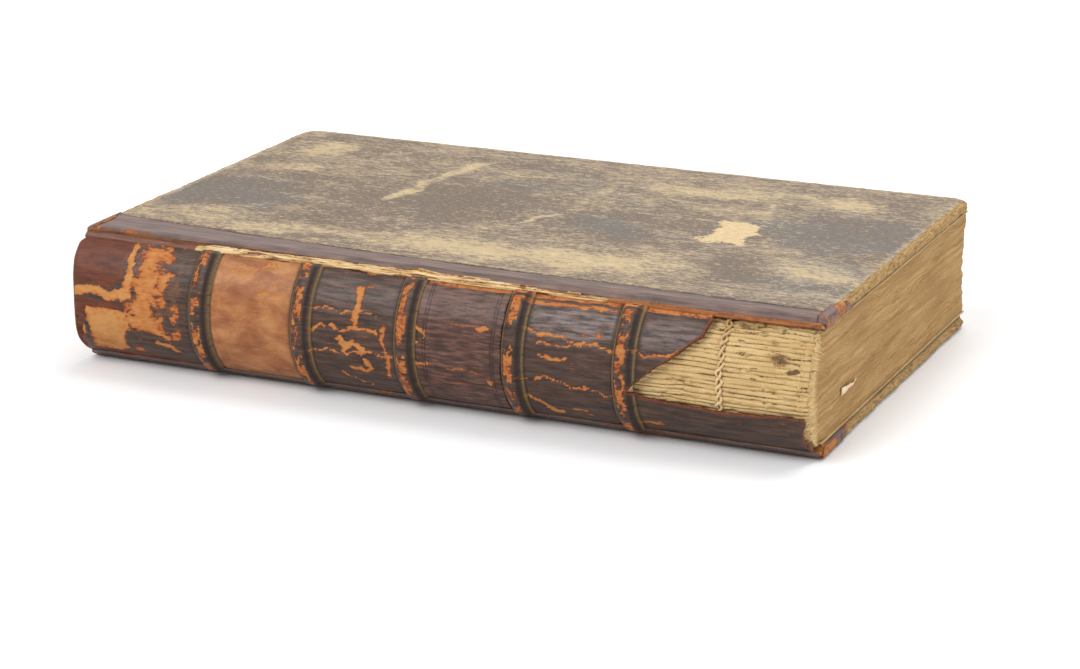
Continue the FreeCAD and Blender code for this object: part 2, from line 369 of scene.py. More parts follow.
class Shader:
    """One procedural material, built by short calls; a colour is given as it looks, 0 to 255."""

    def __init__(self, name, specular, on_solid=False):
        self.material = bpy.data.materials.new(name)
        self.material.use_nodes = True
        self.tree = self.material.node_tree
        self.surface = self.tree.nodes["Principled BSDF"]
        self.surface.inputs["Specular IOR Level"].default_value = specular
        if on_solid:
            place = self.node("ShaderNodeTexCoord", {}).outputs["Object"]
            self.flow = self.stretch(place, (1 / MM, 1 / MM, 1 / MM))
        else:
            self.flow = self.attribute("flow", "Vector")

    def put(self, socket, value):
        if isinstance(value, bpy.types.NodeSocket):
            self.tree.links.new(value, socket)
        elif socket.type == "RGBA":
            socket.default_value = colour(*value)
        else:
            socket.default_value = value

    def node(self, kind, values, **settings):
        made = self.tree.nodes.new(kind)
        for key, value in settings.items():
            setattr(made, key, value)
        for key, value in values.items():
            self.put(made.inputs[key], value)
        return made

    def attribute(self, name, output="Fac"):
        return self.node("ShaderNodeAttribute", {}, attribute_name=name).outputs[output]

    def vector(self, operation, a, b):
        return self.node("ShaderNodeVectorMath", {0: a, 1: b}, operation=operation).outputs["Vector"]

    def stretch(self, vector, factors):
        return self.vector("MULTIPLY", vector, factors)

    def noise(self, scale, detail, roughness=0.55, distortion=0.0, stretch=None, at=None):
        """Noise along the flow of the surface, or at other places."""
        place = at or self.flow
        made = self.node("ShaderNodeTexNoise", {
            "Vector": self.stretch(place, stretch) if stretch else place,
            "Scale": scale, "Detail": detail, "Roughness": roughness, "Distortion": distortion,
        })
        return made.outputs["Fac"]

    def calc(self, operation, a, b=0.0):
        return self.node("ShaderNodeMath", {0: a, 1: b}, operation=operation).outputs["Value"]

    def times(self, a, b):
        return self.calc("MULTIPLY", a, b)

    def plus(self, a, b):
        return self.calc("ADD", a, b)

    def spread(self, value, amount):
        """A noise value moved to lie around 0, times an amount."""
        return self.times(self.calc("SUBTRACT", value, 0.5), amount)

    def blur(self, value, *noises):
        """A value with noises added, or an attribute by its name, so that what it marks gets ragged."""
        if isinstance(value, str):
            value = self.attribute(value)
        for noise, amount in noises:
            value = self.plus(value, self.spread(noise, amount))
        return value

    def band(self, value, start, end, top=1.0, low=0.0):
        """From low to top as the value goes from start to end."""
        made = self.node("ShaderNodeMapRange", {"Value": value, "From Min": start, "From Max": end,
                                                "To Min": low, "To Max": top})
        return made.outputs["Result"]

    def vein(self, value, width):
        """1 along the thin lines where a noise passes its middle."""
        return self.band(self.calc("ABSOLUTE", self.calc("SUBTRACT", value, 0.5)), width, 0.0)

    def ramp(self, value, *stops):
        """Colours along a value: each stop is a place and a colour."""
        made = self.node("ShaderNodeValToRGB", {"Fac": value})
        elements = made.color_ramp.elements
        while len(elements) < len(stops):
            elements.new(0.5)
        for element, (at, *tint) in zip(elements, stops):
            element.position = at
            element.color = colour(*tint)
        return made.outputs["Color"]

    def mix(self, share, a, b):
        made = self.node("ShaderNodeMix", {}, data_type="RGBA")
        for socket, value in zip((made.inputs[0], made.inputs[6], made.inputs[7]), (share, a, b)):
            self.put(socket, value)
        return made.outputs[2]

    def finish(self, tint, roughness, height, distance, strength):
        self.put(self.surface.inputs["Base Color"], tint)
        self.put(self.surface.inputs["Roughness"], roughness)
        made = self.node("ShaderNodeBump", {"Height": height, "Distance": distance, "Strength": strength})
        self.put(self.surface.inputs["Normal"], made.outputs["Normal"])
        return self.material


RED_BROWN = (124, 58, 28)
ORANGE = (172, 104, 52)
TAN = (180, 120, 64)
SHINE = 0.42


def worn_leather():
    """Dark glazed calf, flaked away to orange and tan where it is worn, with a painted blue-grey highlight on
    the upper part of the panels and painted shade at the bands.
    """
    s = Shader("spine_calf", 0.26)
    coarse = s.noise(0.26, 4.0, 0.6, 0.6)
    medium = s.noise(0.9, 3.0, 0.6, stretch=(0.7, 1.5, 1.0))
    fine = s.noise(3.2, 2.0)
    cracks = s.vein(s.noise(1.0, 2.0, 0.5, stretch=(0.07, 1.6, 1.0)), 0.012)
    wear = s.blur("wear", (coarse, 0.42), (medium, 0.66), (fine, 0.25))
    wear = s.plus(wear, s.times(s.times(cracks, s.band(coarse, 0.46, 0.6)), 0.26))
    shade = s.noise(0.55, 5.0, 0.66, stretch=(0.22, 1.5, 1.0))
    brown = s.noise(0.8, 4.0, 0.7, stretch=(0.12, 2.0, 1.0))
    streaks = s.noise(0.4, 5.0, 0.66, stretch=(0.35, 1.5, 1.0))
    glaze = s.ramp(shade, (0.34, 44, 33, 29), (0.5, 68, 50, 41), (0.68, 92, 68, 56))
    glaze = s.mix(s.band(brown, 0.55, 0.64, 0.45), glaze, (108, 66, 45))
    glaze = s.mix(s.band(brown, 0.46, 0.37, 0.55), glaze, (34, 31, 32))
    glaze = s.mix(s.band(s.blur("olive", (coarse, 1.6)), 0.3, 0.9), glaze,
                  s.mix(s.band(fine, 0.4, 0.6), (92, 70, 46), (130, 94, 58)))
    # painted highlight: a lighter blue-grey reflection, painted in streaks on the upper part of the panels
    sheen = s.times(s.attribute("sheen"), s.band(s.blur(shade, (streaks, 0.8)), 0.4, 0.62))
    glaze = s.mix(sheen, glaze, (126, 112, 108))
    core = s.ramp(s.blur(wear, (streaks, 0.7)), (0.42, *RED_BROWN), (0.52, 158, 84, 38), (0.62, *ORANGE),
                  (0.8, *TAN), (1.0, 186, 134, 78))
    core = s.mix(s.band(wear, 0.5, 0.56), (112, 52, 28), core)
    tint = s.mix(s.band(wear, 0.46, 0.49), glaze, core)
    cloud = s.noise(0.2, 6.0, 0.62, 0.4, stretch=(0.7, 1.0, 1.0))
    bare = s.ramp(cloud, (0.3, 124, 70, 40), (0.5, 152, 96, 56), (0.68, 178, 124, 76))
    bare = s.mix(s.band(fine, 0.4, 0.3, 0.35), bare, (112, 58, 34))
    bare = s.mix(s.times(cracks, 0.4), bare, (192, 146, 98))
    bare = s.mix(s.band(wear, 0.55, 0.66), bare, s.ramp(wear, (0.56, 150, 78, 34), (0.66, *TAN)))
    tint = s.mix(s.band(s.blur("bare", (medium, 0.35)), 0.45, 0.55), tint, bare)
    tint = s.mix(s.band(s.blur("olive", (medium, 1.4)), 0.55, 1.0, 0.7), tint, (112, 88, 50))
    patch = s.ramp(streaks, (0.35, 68, 30, 16), (0.62, 106, 52, 28))
    tint = s.mix(s.band(s.blur("red", (medium, 0.3)), 0.48, 0.54), tint, patch)
    tint = s.mix(s.times(s.attribute("gilt"), s.band(medium, 0.3, 0.46)), tint, (132, 106, 60))
    # painted shade: near-black in the crease at the foot of each band and on its tail-side slope
    tint = s.mix(s.attribute("groove"), tint, (34, 24, 20))
    tint = s.mix(s.band(s.blur("torn", (medium, 0.9)), 0.55, 0.8), tint,
                 s.mix(s.band(fine, 0.45, 0.6), (78, 38, 22), (128, 66, 34)))
    height = s.plus(s.spread(wear, -0.5), s.times(fine, 0.3))
    return s.finish(tint, s.band(wear, 0.44, 0.56, 0.75, SHINE), height, 0.00022, 0.8)


def label_leather():
    """Thin dark leather of the label, with traces of rules and wear, and a painted highlight on its upper
    part.
    """
    s = Shader("label_leather", 0.26)
    along = s.noise(0.8, 4.0, 0.6, stretch=(0.25, 1.5, 1.0))
    medium = s.noise(0.8, 3.0)
    fine = s.noise(3.0, 2.0)
    wear = s.blur("wear", (along, 0.55), (fine, 0.3))
    base = s.ramp(along, (0.34, 52, 35, 30), (0.5, 80, 53, 45), (0.66, 112, 80, 66))
    # painted highlight: lighter where the upper part of the label is marked for a painted reflection
    base = s.mix(s.band(s.blur("sheen", (along, 1.2)), 0.4, 0.9), base, (108, 82, 72))
    core = s.ramp(wear, (0.5, *RED_BROWN), (0.6, *ORANGE), (0.85, *TAN))
    tint = s.mix(s.band(wear, 0.46, 0.5), base, core)
    tint = s.mix(s.times(s.attribute("groove"), s.band(medium, 0.35, 0.5)), tint, (44, 28, 26))
    height = s.plus(along, s.times(fine, 0.4))
    return s.finish(tint, s.band(wear, 0.4, 0.6, 0.7, SHINE), height, 0.00015, 0.6)


def board_leather():
    """Smoother calf on the boards: purple-brown, with an orange rim where it is rubbed."""
    s = Shader("board_leather", 0.25)
    along = s.noise(0.8, 4.0, 0.6, stretch=(0.12, 1.6, 1.0))
    medium = s.noise(0.7, 3.0, 0.6)
    fine = s.noise(3.0, 2.0)
    wear = s.blur("wear", (medium, 0.55), (along, 0.8), (fine, 0.25))
    base = s.ramp(along, (0.32, 74, 58, 54), (0.5, 102, 82, 76), (0.7, 126, 102, 90))
    core = s.ramp(wear, (0.5, 96, 54, 34), (0.62, 158, 98, 50), (0.78, 178, 118, 62), (1.0, 192, 142, 88))
    tint = s.mix(s.band(wear, 0.45, 0.52), base, core)
    tint = s.mix(s.attribute("red"), tint, s.ramp(along, (0.35, 86, 44, 28), (0.65, 140, 80, 46)))
    tint = s.mix(s.attribute("groove"), tint, (40, 28, 26))
    height = s.plus(along, s.times(fine, 0.4))
    return s.finish(tint, s.band(wear, 0.4, 0.6, 0.72, SHINE), height, 0.00015, 0.6)


def side_paper():
    """Grey-brown paper, rubbed through to tan in flecks that run along the board."""
    s = Shader("side_paper", 0.3)
    coarse = s.noise(0.11, 5.0, 0.62, 0.8, stretch=(0.5, 1.0, 1.0))
    flecks = s.noise(0.55, 5.0, 0.7, 0.5, stretch=(0.35, 1.0, 1.0))
    fine = s.noise(2.2, 3.0, 0.6)
    small = s.noise(1.3, 4.0, 0.7, 0.4, stretch=(0.45, 1.0, 1.0))
    hue = s.noise(0.09, 4.0, 0.65, stretch=(0.5, 1.0, 1.0))
    worn = s.blur("wear", (coarse, 0.7), (flecks, 1.5), (small, 1.5), (fine, 0.45))
    blue = s.band(s.blur("blue", (hue, 2.6)), 0.25, 1.1)
    dark = s.mix(blue, (98, 83, 70), (92, 90, 87))
    middle = s.mix(blue, (142, 124, 102), (138, 130, 115))
    tint = s.mix(s.band(worn, 0.2, 0.42), dark, middle)
    tint = s.mix(s.band(worn, 0.52, 0.68), tint, (178, 157, 120))
    tint = s.mix(s.band(worn, 0.95, 1.2), tint, (198, 175, 136))
    tint = s.mix(s.band(small, 0.46, 0.36, 0.4), tint, (104, 89, 70))
    tint = s.mix(s.band(flecks, 0.46, 0.36, 0.4), tint, (112, 102, 86))
    tint = s.mix(s.band(small, 0.54, 0.64, 0.35), tint, (186, 166, 130))
    cream = s.mix(s.band(small, 0.35, 0.6), (180, 154, 112), (206, 182, 140))
    tint = s.mix(s.band(s.blur("pale", (small, 1.6)), 0.42, 0.62), tint, cream)
    return s.finish(tint, 0.6, s.plus(worn, fine), 0.00012, 0.5)


def pulp():
    """Frayed pasteboard, where the coverings are worn from the edges."""
    s = Shader("pasteboard_pulp", 0.15)
    layers = s.noise(1.2, 4.0, 0.65, stretch=(0.35, 1.0, 2.2))
    fine = s.noise(2.6, 3.0, 0.65)
    tint = s.ramp(layers, (0.3, 116, 88, 54), (0.45, 156, 124, 80), (0.6, 178, 146, 98),
                  (0.78, 200, 170, 122))
    tint = s.mix(s.band(s.blur("stain", (fine, 0.9)), 0.55, 0.75), tint, (92, 66, 44))
    return s.finish(tint, 0.85, s.plus(layers, s.times(fine, 0.7)), 0.0004, 0.9)


def old_paper():
    """Edges and folds of the leaves: fine lines that follow the leaves, darker at the edges, with painted
    shade in the partings between bundles of leaves and in the dips between the sections' folds.
    """
    s = Shader("old_paper", 0.12)
    sway = s.noise(1.0, 3.0, 0.6, stretch=(0.07, 0.25, 0.07))
    shift = s.node("ShaderNodeCombineXYZ", {"Y": s.spread(sway, 4.0)}).outputs["Vector"]
    bent = s.vector("ADD", s.flow, shift)
    wide = s.noise(1.0, 3.0, 0.6, stretch=(0.03, 0.9, 0.03), at=bent)
    leaves = s.noise(1.0, 3.0, 0.7, stretch=(0.06, 4.5, 0.06), at=bent)
    cloud = s.noise(1.0, 4.0, 0.6, stretch=(0.05, 0.16, 0.05))
    fine = s.noise(2.4, 3.0, 0.6)
    edge = s.ramp(s.plus(s.times(leaves, 0.6), s.times(wide, 0.4)), (0.32, 122, 90, 52), (0.44, 160, 126, 80),
                  (0.56, 177, 144, 95), (0.74, 196, 164, 114))
    edge = s.mix(s.band(cloud, 0.42, 0.68), edge, s.mix(0.5, edge, (140, 104, 62)))
    # painted shade: thin dark lines in the partings between bundles of leaves on the edges
    parting_shade = s.times(s.vein(wide, 0.016), s.band(sway, 0.4, 0.6))
    edge = s.mix(s.times(parting_shade, 0.7), edge, (104, 74, 42))
    folds = s.ramp(s.plus(s.times(fine, 0.4), s.times(leaves, 0.6)), (0.32, 150, 114, 66),
                   (0.46, 202, 172, 120), (0.68, 224, 200, 152))
    folds = s.mix(s.band(cloud, 0.4, 0.7), folds, s.mix(0.45, folds, (178, 140, 88)))
    tint = s.mix(s.attribute("fold"), edge, folds)
    # painted shade: darker in the dips between the sections' folds on the spine of the leaves
    tint = s.mix(s.band(s.blur("valley", (fine, 0.5)), 0.4, 0.85, 0.85), tint, (92, 62, 32))
    tint = s.mix(s.band(s.blur("stain", (fine, 1.6)), 0.35, 0.9, 0.85), tint, (72, 46, 32))
    return s.finish(tint, 0.8, s.plus(leaves, s.times(fine, 0.3)), 0.0002, 0.7)


def torn_fibres():
    """Torn lining and glue in the joint: tan strands, darker in the cracks between them."""
    s = Shader("joint_fibres", 0.15)
    strands = s.noise(1.0, 4.0, 0.7, stretch=(0.08, 3.0, 1.0))
    fine = s.noise(2.0, 3.0, 0.6)
    value = s.calc("SUBTRACT", strands, s.times(s.attribute("stain"), 0.22))
    tint = s.ramp(value, (0.24, 92, 54, 30), (0.33, 156, 112, 68), (0.43, 200, 166, 116),
                  (0.56, 224, 200, 156))
    return s.finish(tint, 0.8, s.plus(strands, s.times(fine, 0.4)), 0.0004, 0.8)


def plain_stuff(name, dark, light, scale, stretch=(1, 1, 1)):
    """Paper, cord or lining that hardly shows: two tints, mixed in fibres."""
    s = Shader(name, 0.2, on_solid=True)
    fibres = s.noise(scale, 4.0, 0.65, stretch=stretch)
    value = s.plus(s.times(fibres, 0.5), s.times(s.noise(0.05, 3.0), 0.5))
    return s.finish(s.ramp(value, (0.35, *dark), (0.62, *light)), 0.8, fibres, 0.0001, 0.5)


SPINE_CALF = worn_leather()
LABEL = label_leather()
BOARD_CALF = board_leather()
SIDE_PAPER = side_paper()
PULP = pulp()
OLD_PAPER = old_paper()
FIBRES = torn_fibres()
ENDPAPER = plain_stuff("endpaper", (190, 162, 116), (220, 198, 156), 0.6)
FLYLEAF = plain_stuff("flyleaf", (168, 138, 92), (202, 174, 126), 0.6)
FLAKE = plain_stuff("paper_flake", (206, 180, 140), (232, 212, 178), 0.9)
TURN_IN = plain_stuff("turned_in_paper", (108, 92, 76), (150, 130, 104), 0.8)
LINING = plain_stuff("lining_paper", (170, 140, 98), (214, 188, 142), 0.7)
CORD = plain_stuff("hemp_cord", (146, 116, 74), (216, 188, 140), 1.2, (1.0, 4.0, 4.0))
THREAD = plain_stuff("linen_thread", (170, 134, 84), (228, 202, 156), 2.0)


# Spine leather

TEAR = [(177.2, 33.4), (176.0, 29.6), (171.4, 25.7), (166.6, 21.8), (163.4, 19.3), (157.9, 14.6),
        (163.0, 12.8), (179.9, 11.7), (190.0, 12.1), (197.0, 12.8), (202.9, 12.8),
        (203.1, 11.4), (201.8, 6.2), (203.0, 4.4)]
PAST_TAIL = 300.0
PAST_JOINT = 60.0


def tear_outline():
    """The outline of the tear, as distances from the head and along the curve of the spine."""
    points = [(x, LEATHER_OUT * math.asin(max(-1, min(1, (z - MID_Z) / LEATHER_OUT)))) for x, z in TEAR]
    return points + [(points[-1][0], -PAST_JOINT), (PAST_TAIL, -PAST_JOINT), (PAST_TAIL, PAST_JOINT),
                     (points[0][0], PAST_JOINT)]


def from_band(x):
    """How far a place lies past the middle of the nearest raised band, towards the tail."""
    offsets = np.stack([x - band for band in BANDS])
    return np.take_along_axis(offsets, np.abs(offsets).argmin(axis=0)[None], axis=0)[0]


def band_rise(x):
    """Height of the raised bands, at a distance from the head."""
    return BAND_HEIGHT * np.clip(1 - (from_band(x) / BAND_HALF) ** 2, 0, 1) ** 0.75


def around_axis(x, angle, radius):
    """Points at an angle about the axis of the spine and a distance out from it."""
    return stack(x, AXIS_Y - radius * np.cos(angle), MID_Z + radius * np.sin(angle))


def on_spine(x, arc, radius):
    """Points of the spine at a distance from the head, along the curve and out from its axis."""
    angle = arc / LEATHER_OUT
    reach = (TRIM_Z - MID_Z) / np.maximum(np.abs(np.sin(angle)), 1e-6)
    return around_axis(x + HEAD_X, angle, np.minimum(radius, reach))


FIRST_PANEL_MARKS = [
    (stroke, 0.85, [(17.6, 17.8), (17.0, 13), (18.2, 9), (17.2, 5)], 1.7),
    (stroke, 0.85, [(1.6, 3.0), (6, 3.6), (12, 2.4), (18.6, 3.8)], 1.8),
    (area, 0.86, [(4.2, -0.4), (11, -0.2), (17.2, -1.2), (17.6, -6), (15.6, -9), (15.8, -13.5), (12.2, -16),
                  (5.2, -15.2), (4.4, -8)], 2.0),
    (stroke, 0.8, [(1.4, -3.5), (2.4, -9), (2.6, -14)], 1.2),
    (glow, 0.66, (23.5, 1.2), (6.5, 6.0)),
    (glow, 0.62, (28.5, 9.4), (2.6, 2.2)),
    (glow, 0.6, (31.4, -1.0), (2.4, 3.2)),
    (glow, 0.6, (22.4, 12.4), (1.9, 2.6)),
    (stroke, 0.8, [(22, 10), (22.4, 14)], 1.1),
    (stroke, 0.8, [(28, 8.6), (29.6, 10.6)], 1.5),
    (stroke, 0.75, [(24.4, -9.2), (28, -10.2), (31, -12)], 0.9),
    (stroke, 0.75, [(19, -5.2), (24, -4.4), (29, -7.6), (33, -7.4)], 0.9),
    (glow, 0.62, (18.6, -13.8), (2.6, 2.2)),
]
PANEL_MARKS = [
    (stroke, 0.8, [(46.6, 13.6), (50, 13.2), (57, 15.8), (59, 16.0)], 0.9),
    (stroke, 0.75, [(46, 15.0), (50.5, 15.2)], 0.8),
    (glow, 0.75, (59.8, 11.4), (1.6, 1.3)),
    (stroke, 0.85, [(55.6, 7.6), (59, 8.4), (62.4, 8.2)], 0.9),
    (stroke, 0.85, [(56, 5.8), (58, 6.2)], 0.7),
    (glow, 0.7, (59.6, -12.5), (3.4, 2.0)),
    (stroke, 0.7, [(60, -8), (61.6, -12)], 0.7),
    (stroke, 0.9, [(83.6, 13.4), (85.0, 11.6), (84.4, 9.0), (83.2, 6.6), (83.6, 3.4)], 1.5),
    (stroke, 0.72, [(86.8, 13.6), (84.6, 13.2)], 0.8),
    (stroke, 0.8, [(77.6, 3.0), (80, 2.2), (83.4, 2.8), (86.6, 2.2), (90.4, 2.5)], 0.8),
    (stroke, 0.9, [(79.4, 0.2), (81.4, -2.6), (83.4, -1.4), (86.6, -2.6)], 1.5),
    (stroke, 0.86, [(71.0, -4.2), (76, -3.6), (82, -4.2), (88, -3.2), (94.6, -4.4)], 0.5),
    (stroke, 0.85, [(86.8, -5.4), (87.6, -7.8), (86.0, -9.2), (82.2, -8.6)], 1.1),
    (stroke, 0.86, [(70.6, 6.6), (74.6, 7.4), (80.0, 6.7), (84, 7.3), (90, 6.5)], 0.45),
    (stroke, 0.8, [(72.4, 1.8), (74.4, 2.7), (76.0, 2.2)], 0.8),
    (stroke, 0.7, [(92.8, 4.6), (91.8, 1.4), (92.6, -4.4), (92.2, -9.8)], 1.1),
    (stroke, 0.8, [(79, -11), (84, -12.6), (86, -15)], 0.6),
    (stroke, 0.9, [(129.4, 8.4), (133, 7.4), (138, 7.8), (144, 6.6), (149, 7.0), (153.8, 5.8)], 0.65),
    (stroke, 0.8, [(134, 5.6), (141, 5.2), (146, 5.6)], 0.4),
    (stroke, 0.86, [(129.2, -3.4), (134, -4.2), (138, -3.4), (144, -5.0), (153.8, -5.6)], 0.5),
    (stroke, 0.86, [(134.4, 2.4), (137.8, 1.7), (142, 2.2)], 0.7),
    (stroke, 0.62, [(146, 8.9), (150, 9.2)], 0.6),
    (stroke, 0.85, [(130.8, -9.6), (133.6, -11.2), (136.0, -14.0), (139.4, -14.6)], 1.2),
    (stroke, 0.8, [(142.6, -11.8), (145.2, -12.4)], 0.9),
    (stroke, 0.75, [(143.8, -14.4), (146.4, -14.4)], 0.7),
    (stroke, 0.84, [(158.5, 6.6), (163, 5.0), (168, 6.6), (173.4, 8.4)], 0.6),
    (stroke, 0.75, [(160.2, -14.2), (163, -13.4), (165.6, -14.0)], 0.8),
]


def spine_marks(x, arc):
    """Where the glaze is gone: 0 whole, 1 bare and pale."""
    u, v = warp(*warp(x, arc, 1.4, 4.0, 11), 0.8, 1.2, 12)
    first = step(x, 34.5, 32.5)
    blotches = uneven(x, arc, 4.4, 3.6, 13)
    across, up = warp(x, arc, 3.0, 7.0, 25)
    middle = step(across, 15, 19) * step(up, -9.5, -4.5) * (1 - 0.75 * step(across, 25, 30) * step(up, 1, 8))
    field = 0.17 + 0.08 * step(v, -14, -8)
    field = np.maximum(field, first * (0.24 + 0.27 * middle + 1.15 * blotches * middle))
    field = np.maximum(field, 0.9 * paint(u, v, PANEL_MARKS))
    chipped = 0.72 + 0.56 * rough(x, arc, 2.6, 2.0, 24)
    field = np.maximum(field, first * chipped * paint(u, v, FIRST_PANEL_MARKS))
    field = field + 0.2 * uneven(x, arc, 1.6, 0.8, 18, 3)
    offset = from_band(x)
    chips = step(rough(x, arc, 1.7, 2.0, 14, 3), 0.37, 0.45)
    crest = step(offset, -2.5, -1.8) * step(offset, 1.3, 0.6) * chips
    field = np.maximum(field, (0.46 + 0.26 * rough(x, arc, 1.5, 1.5, 19, 3)) * crest)
    ragged = 1.6 * uneven(x, 0, 9.0, 1.0, 16)
    rim_start = 17.6 - 2.4 * step(x, 95, 125) + 0.9 * step(x, 150, 176) + ragged
    rim = step(v, rim_start - 0.3, rim_start + 0.5) * step(x, 60, 90)
    split = stroke(x, arc + 0.8 * ragged, [(40, 16.2), (176, 16.6)], 0.35)
    return np.maximum(field, 0.62 * rim) - 0.5 * split * rim


def bare_area(x):
    """The panel whose label is lost, and shows plain brown leather."""
    start, end = BANDS[0] + BAND_HALF + 0.3, BANDS[1] - BAND_HALF - 0.3
    return step(x, start - 0.4, start + 0.4) * step(x, end + 0.4, end - 0.4)


def red_area(x, arc):
    """Where the glaze of the first panel is worn to a dark red."""
    u, v = warp(x, arc, 0.9, 3.0, 33)
    upper = area(u, v, [(0.4, 19.5), (15.4, 19.6), (16.2, 15.5), (15.2, 11.5), (15.6, 7.0), (11.4, 4.6),
                        (5, 5.4), (1.6, 5.0)])
    cap = area(u, v, [(1.0, 1.0), (4.6, 0.4), (3.6, -8), (4.4, -15.5), (2.0, -16)], 0.5)
    middle = area(u, v, [(2, 1.4), (10, 1.2), (16.6, 1.0), (16.4, -1.2), (10, -0.5), (4.2, -0.8)], 1.0)
    low = 0.8 * area(u, v, [(5, -15.8), (33, -14.6), (33, -19), (5, -19)], 2.0) * step(x, 34, 30)
    olive = step(x, 17, 19) * step(x, 34, 32) * (0.1 + 0.3 * step(v, 18, 8) * step(v, -12, -2))
    olive = np.maximum(olive, 0.9 * glow(u, v, (9.5, -12.0), (4.0, 2.0)))
    return np.max([upper, cap, middle, low], axis=0), olive


def spine_leather():
    """The leather over the spine, torn away at the tail and turned in over the headcap, with painted shade at
    the raised bands and a painted highlight on the upper part of the panels.
    """
    head = LEATHER_LO[0] - HEAD_X
    cap = [(0.75, -1.9), (0.35, -1.75), (0.1, -1.3), (0.0, -0.7), (0.1, -0.25), (0.4, -0.02)]
    arcs = np.linspace(-HALF_ARC, HALF_ARC, 84)
    x, arc = np.meshgrid(np.arange(head + 0.8, LENGTH, 0.46), arcs, indexing="ij")
    lost = inside(x, arc, tear_outline()) + 1.1 * uneven(x, arc, 3.0, 3.0, 5)
    lost = np.maximum(lost, arc - HALF_ARC + 0.35 + 0.5 * uneven(x, arc, 7.0, 7.0, 9))
    keep, x, arc = snap(x, arc, lost)
    wear = spine_marks(x, arc)
    near_band = np.abs(from_band(x))
    # a shallow groove at the foot of each raised band, also painted near-black as shade in the crease
    groove = step(np.abs(near_band - BAND_HALF - 0.35), 0.45, 0.1)
    torn = np.clip(1 + inside(x, arc, tear_outline()) / 1.4, 0, 1)
    radius = LEATHER_OUT + band_rise(x) - 0.14 * groove + 0.22 * uneven(x, arc, 9.0, 5.0, 21) + 0.35 * torn**2
    radius -= 0.16 * step(wear + 0.5 * uneven(x, arc, 2.2, 1.4, 3), 0.42, 0.62)
    inner_radius = np.minimum(LEATHER_IN + band_rise(x) + 0.35 * torn**2, radius - 0.35)
    gilt = 0.8 * step(np.abs(near_band - BAND_HALF + 0.1), 0.42, 0.15)
    # painted shade: a near-black strip on the tail-side slope of each raised band
    tail_slope_shade = step(from_band(x), 1.0, 1.4) * step(from_band(x), 2.5, 2.1)
    panel = step(near_band, BAND_HALF + 0.6, BAND_HALF + 1.4)
    # painted highlight: marks the upper part of the panels for a blue-grey reflection painted into the
    # colour, stronger on some panels than on others
    sheen = panel * step(arc, 4.5, 9.0) * step(arc, 17.0, 13.5) * (0.3 + 0.7 * step(x, 128, 132))
    sheen = sheen * np.where(x < 36, 0.4, 0.85) * (1 - 0.4 * step(x, 156, 160))
    red, olive = red_area(x, arc)
    bulge = 1.6 * step(np.abs(arcs), 0.5, 15.5) * step(np.abs(arcs), HALF_ARC + 0.8, HALF_ARC - 2.5)
    pulled = x - bulge * step(x, 9.0, head)
    sink = 0.5 * (np.abs(arcs) / HALF_ARC) ** 4
    lip_x = head + 0.25 * uneven(arcs, 0, 4.0, 1.0, 31) - bulge
    cap_out = [on_spine(lip_x + at, arcs, LEATHER_OUT + drop - sink * (drop > -1)) for at, drop in cap]
    cap_in = [on_spine(lip_x + at + 0.6, arcs, LEATHER_OUT + drop - 0.45) for at, drop in cap]
    outside = np.concatenate([np.stack(cap_out), on_spine(pulled, arc, radius)])
    within = np.concatenate([np.stack(cap_in), on_spine(pulled, arc, inner_radius)])
    rows = len(cap)

    def headed(values, top=0.0):
        return np.concatenate([np.full((rows, values.shape[1]), top), values])

    keep = np.concatenate([np.ones((rows, keep.shape[1]), bool), keep])
    flow_x = np.concatenate([np.tile(np.linspace(head - 2.5, head + 0.4, rows)[:, None], (1, len(arcs))), x])
    flow_arc = np.concatenate([np.tile(arcs, (rows, 1)), arc])
    make("spine_leather_worn",
         *shell(outside, within, keep, flow=stack(flow_x, flow_arc, 0.0), wear=headed(wear, 0.4),
                bare=headed(bare_area(x)), red=headed(red, 0.3), olive=headed(olive, 1.0),
                sheen=headed(sheen), gilt=headed(gilt), torn=headed(torn),
                # the grooves at the foot of the bands and the painted shade on their tail-side slopes, as one
                # mask
                groove=headed(np.maximum(groove * 0.75, 0.85 * tail_slope_shade))),
         SPINE_CALF, "book", "spine_calf", ["spine_leather"])


LABEL_MARKS = [
    (stroke, 0.62, [(108, 7.6), (111, 6.9), (114, 7.2), (117, 6.6)], 0.4),
    (area, 0.8, [(116.4, 6.4), (119.8, 7.8), (121.4, 6.6), (118.6, 5.6)], 0.8),
    (stroke, 0.72, [(98.8, -3.2), (101.4, -4.2), (104.2, -3.8)], 0.9),
    (stroke, 0.6, [(104, -3.9), (109, -4.6), (114, -4.2), (120, -5.4)], 0.35),
    (area, 0.8, [(120, -6.6), (122.4, -6.2), (122.2, -8.4), (120.6, -8.0)], 0.8),
    (stroke, 0.55, [(102, -9.2), (108, -8.2), (115, -9.0)], 0.4),
    (area, 0.9, [(98, 6.4), (103.6, 5.0), (103.8, 3.2), (101.4, 0.8), (98, 1.6)], 0.8),
]


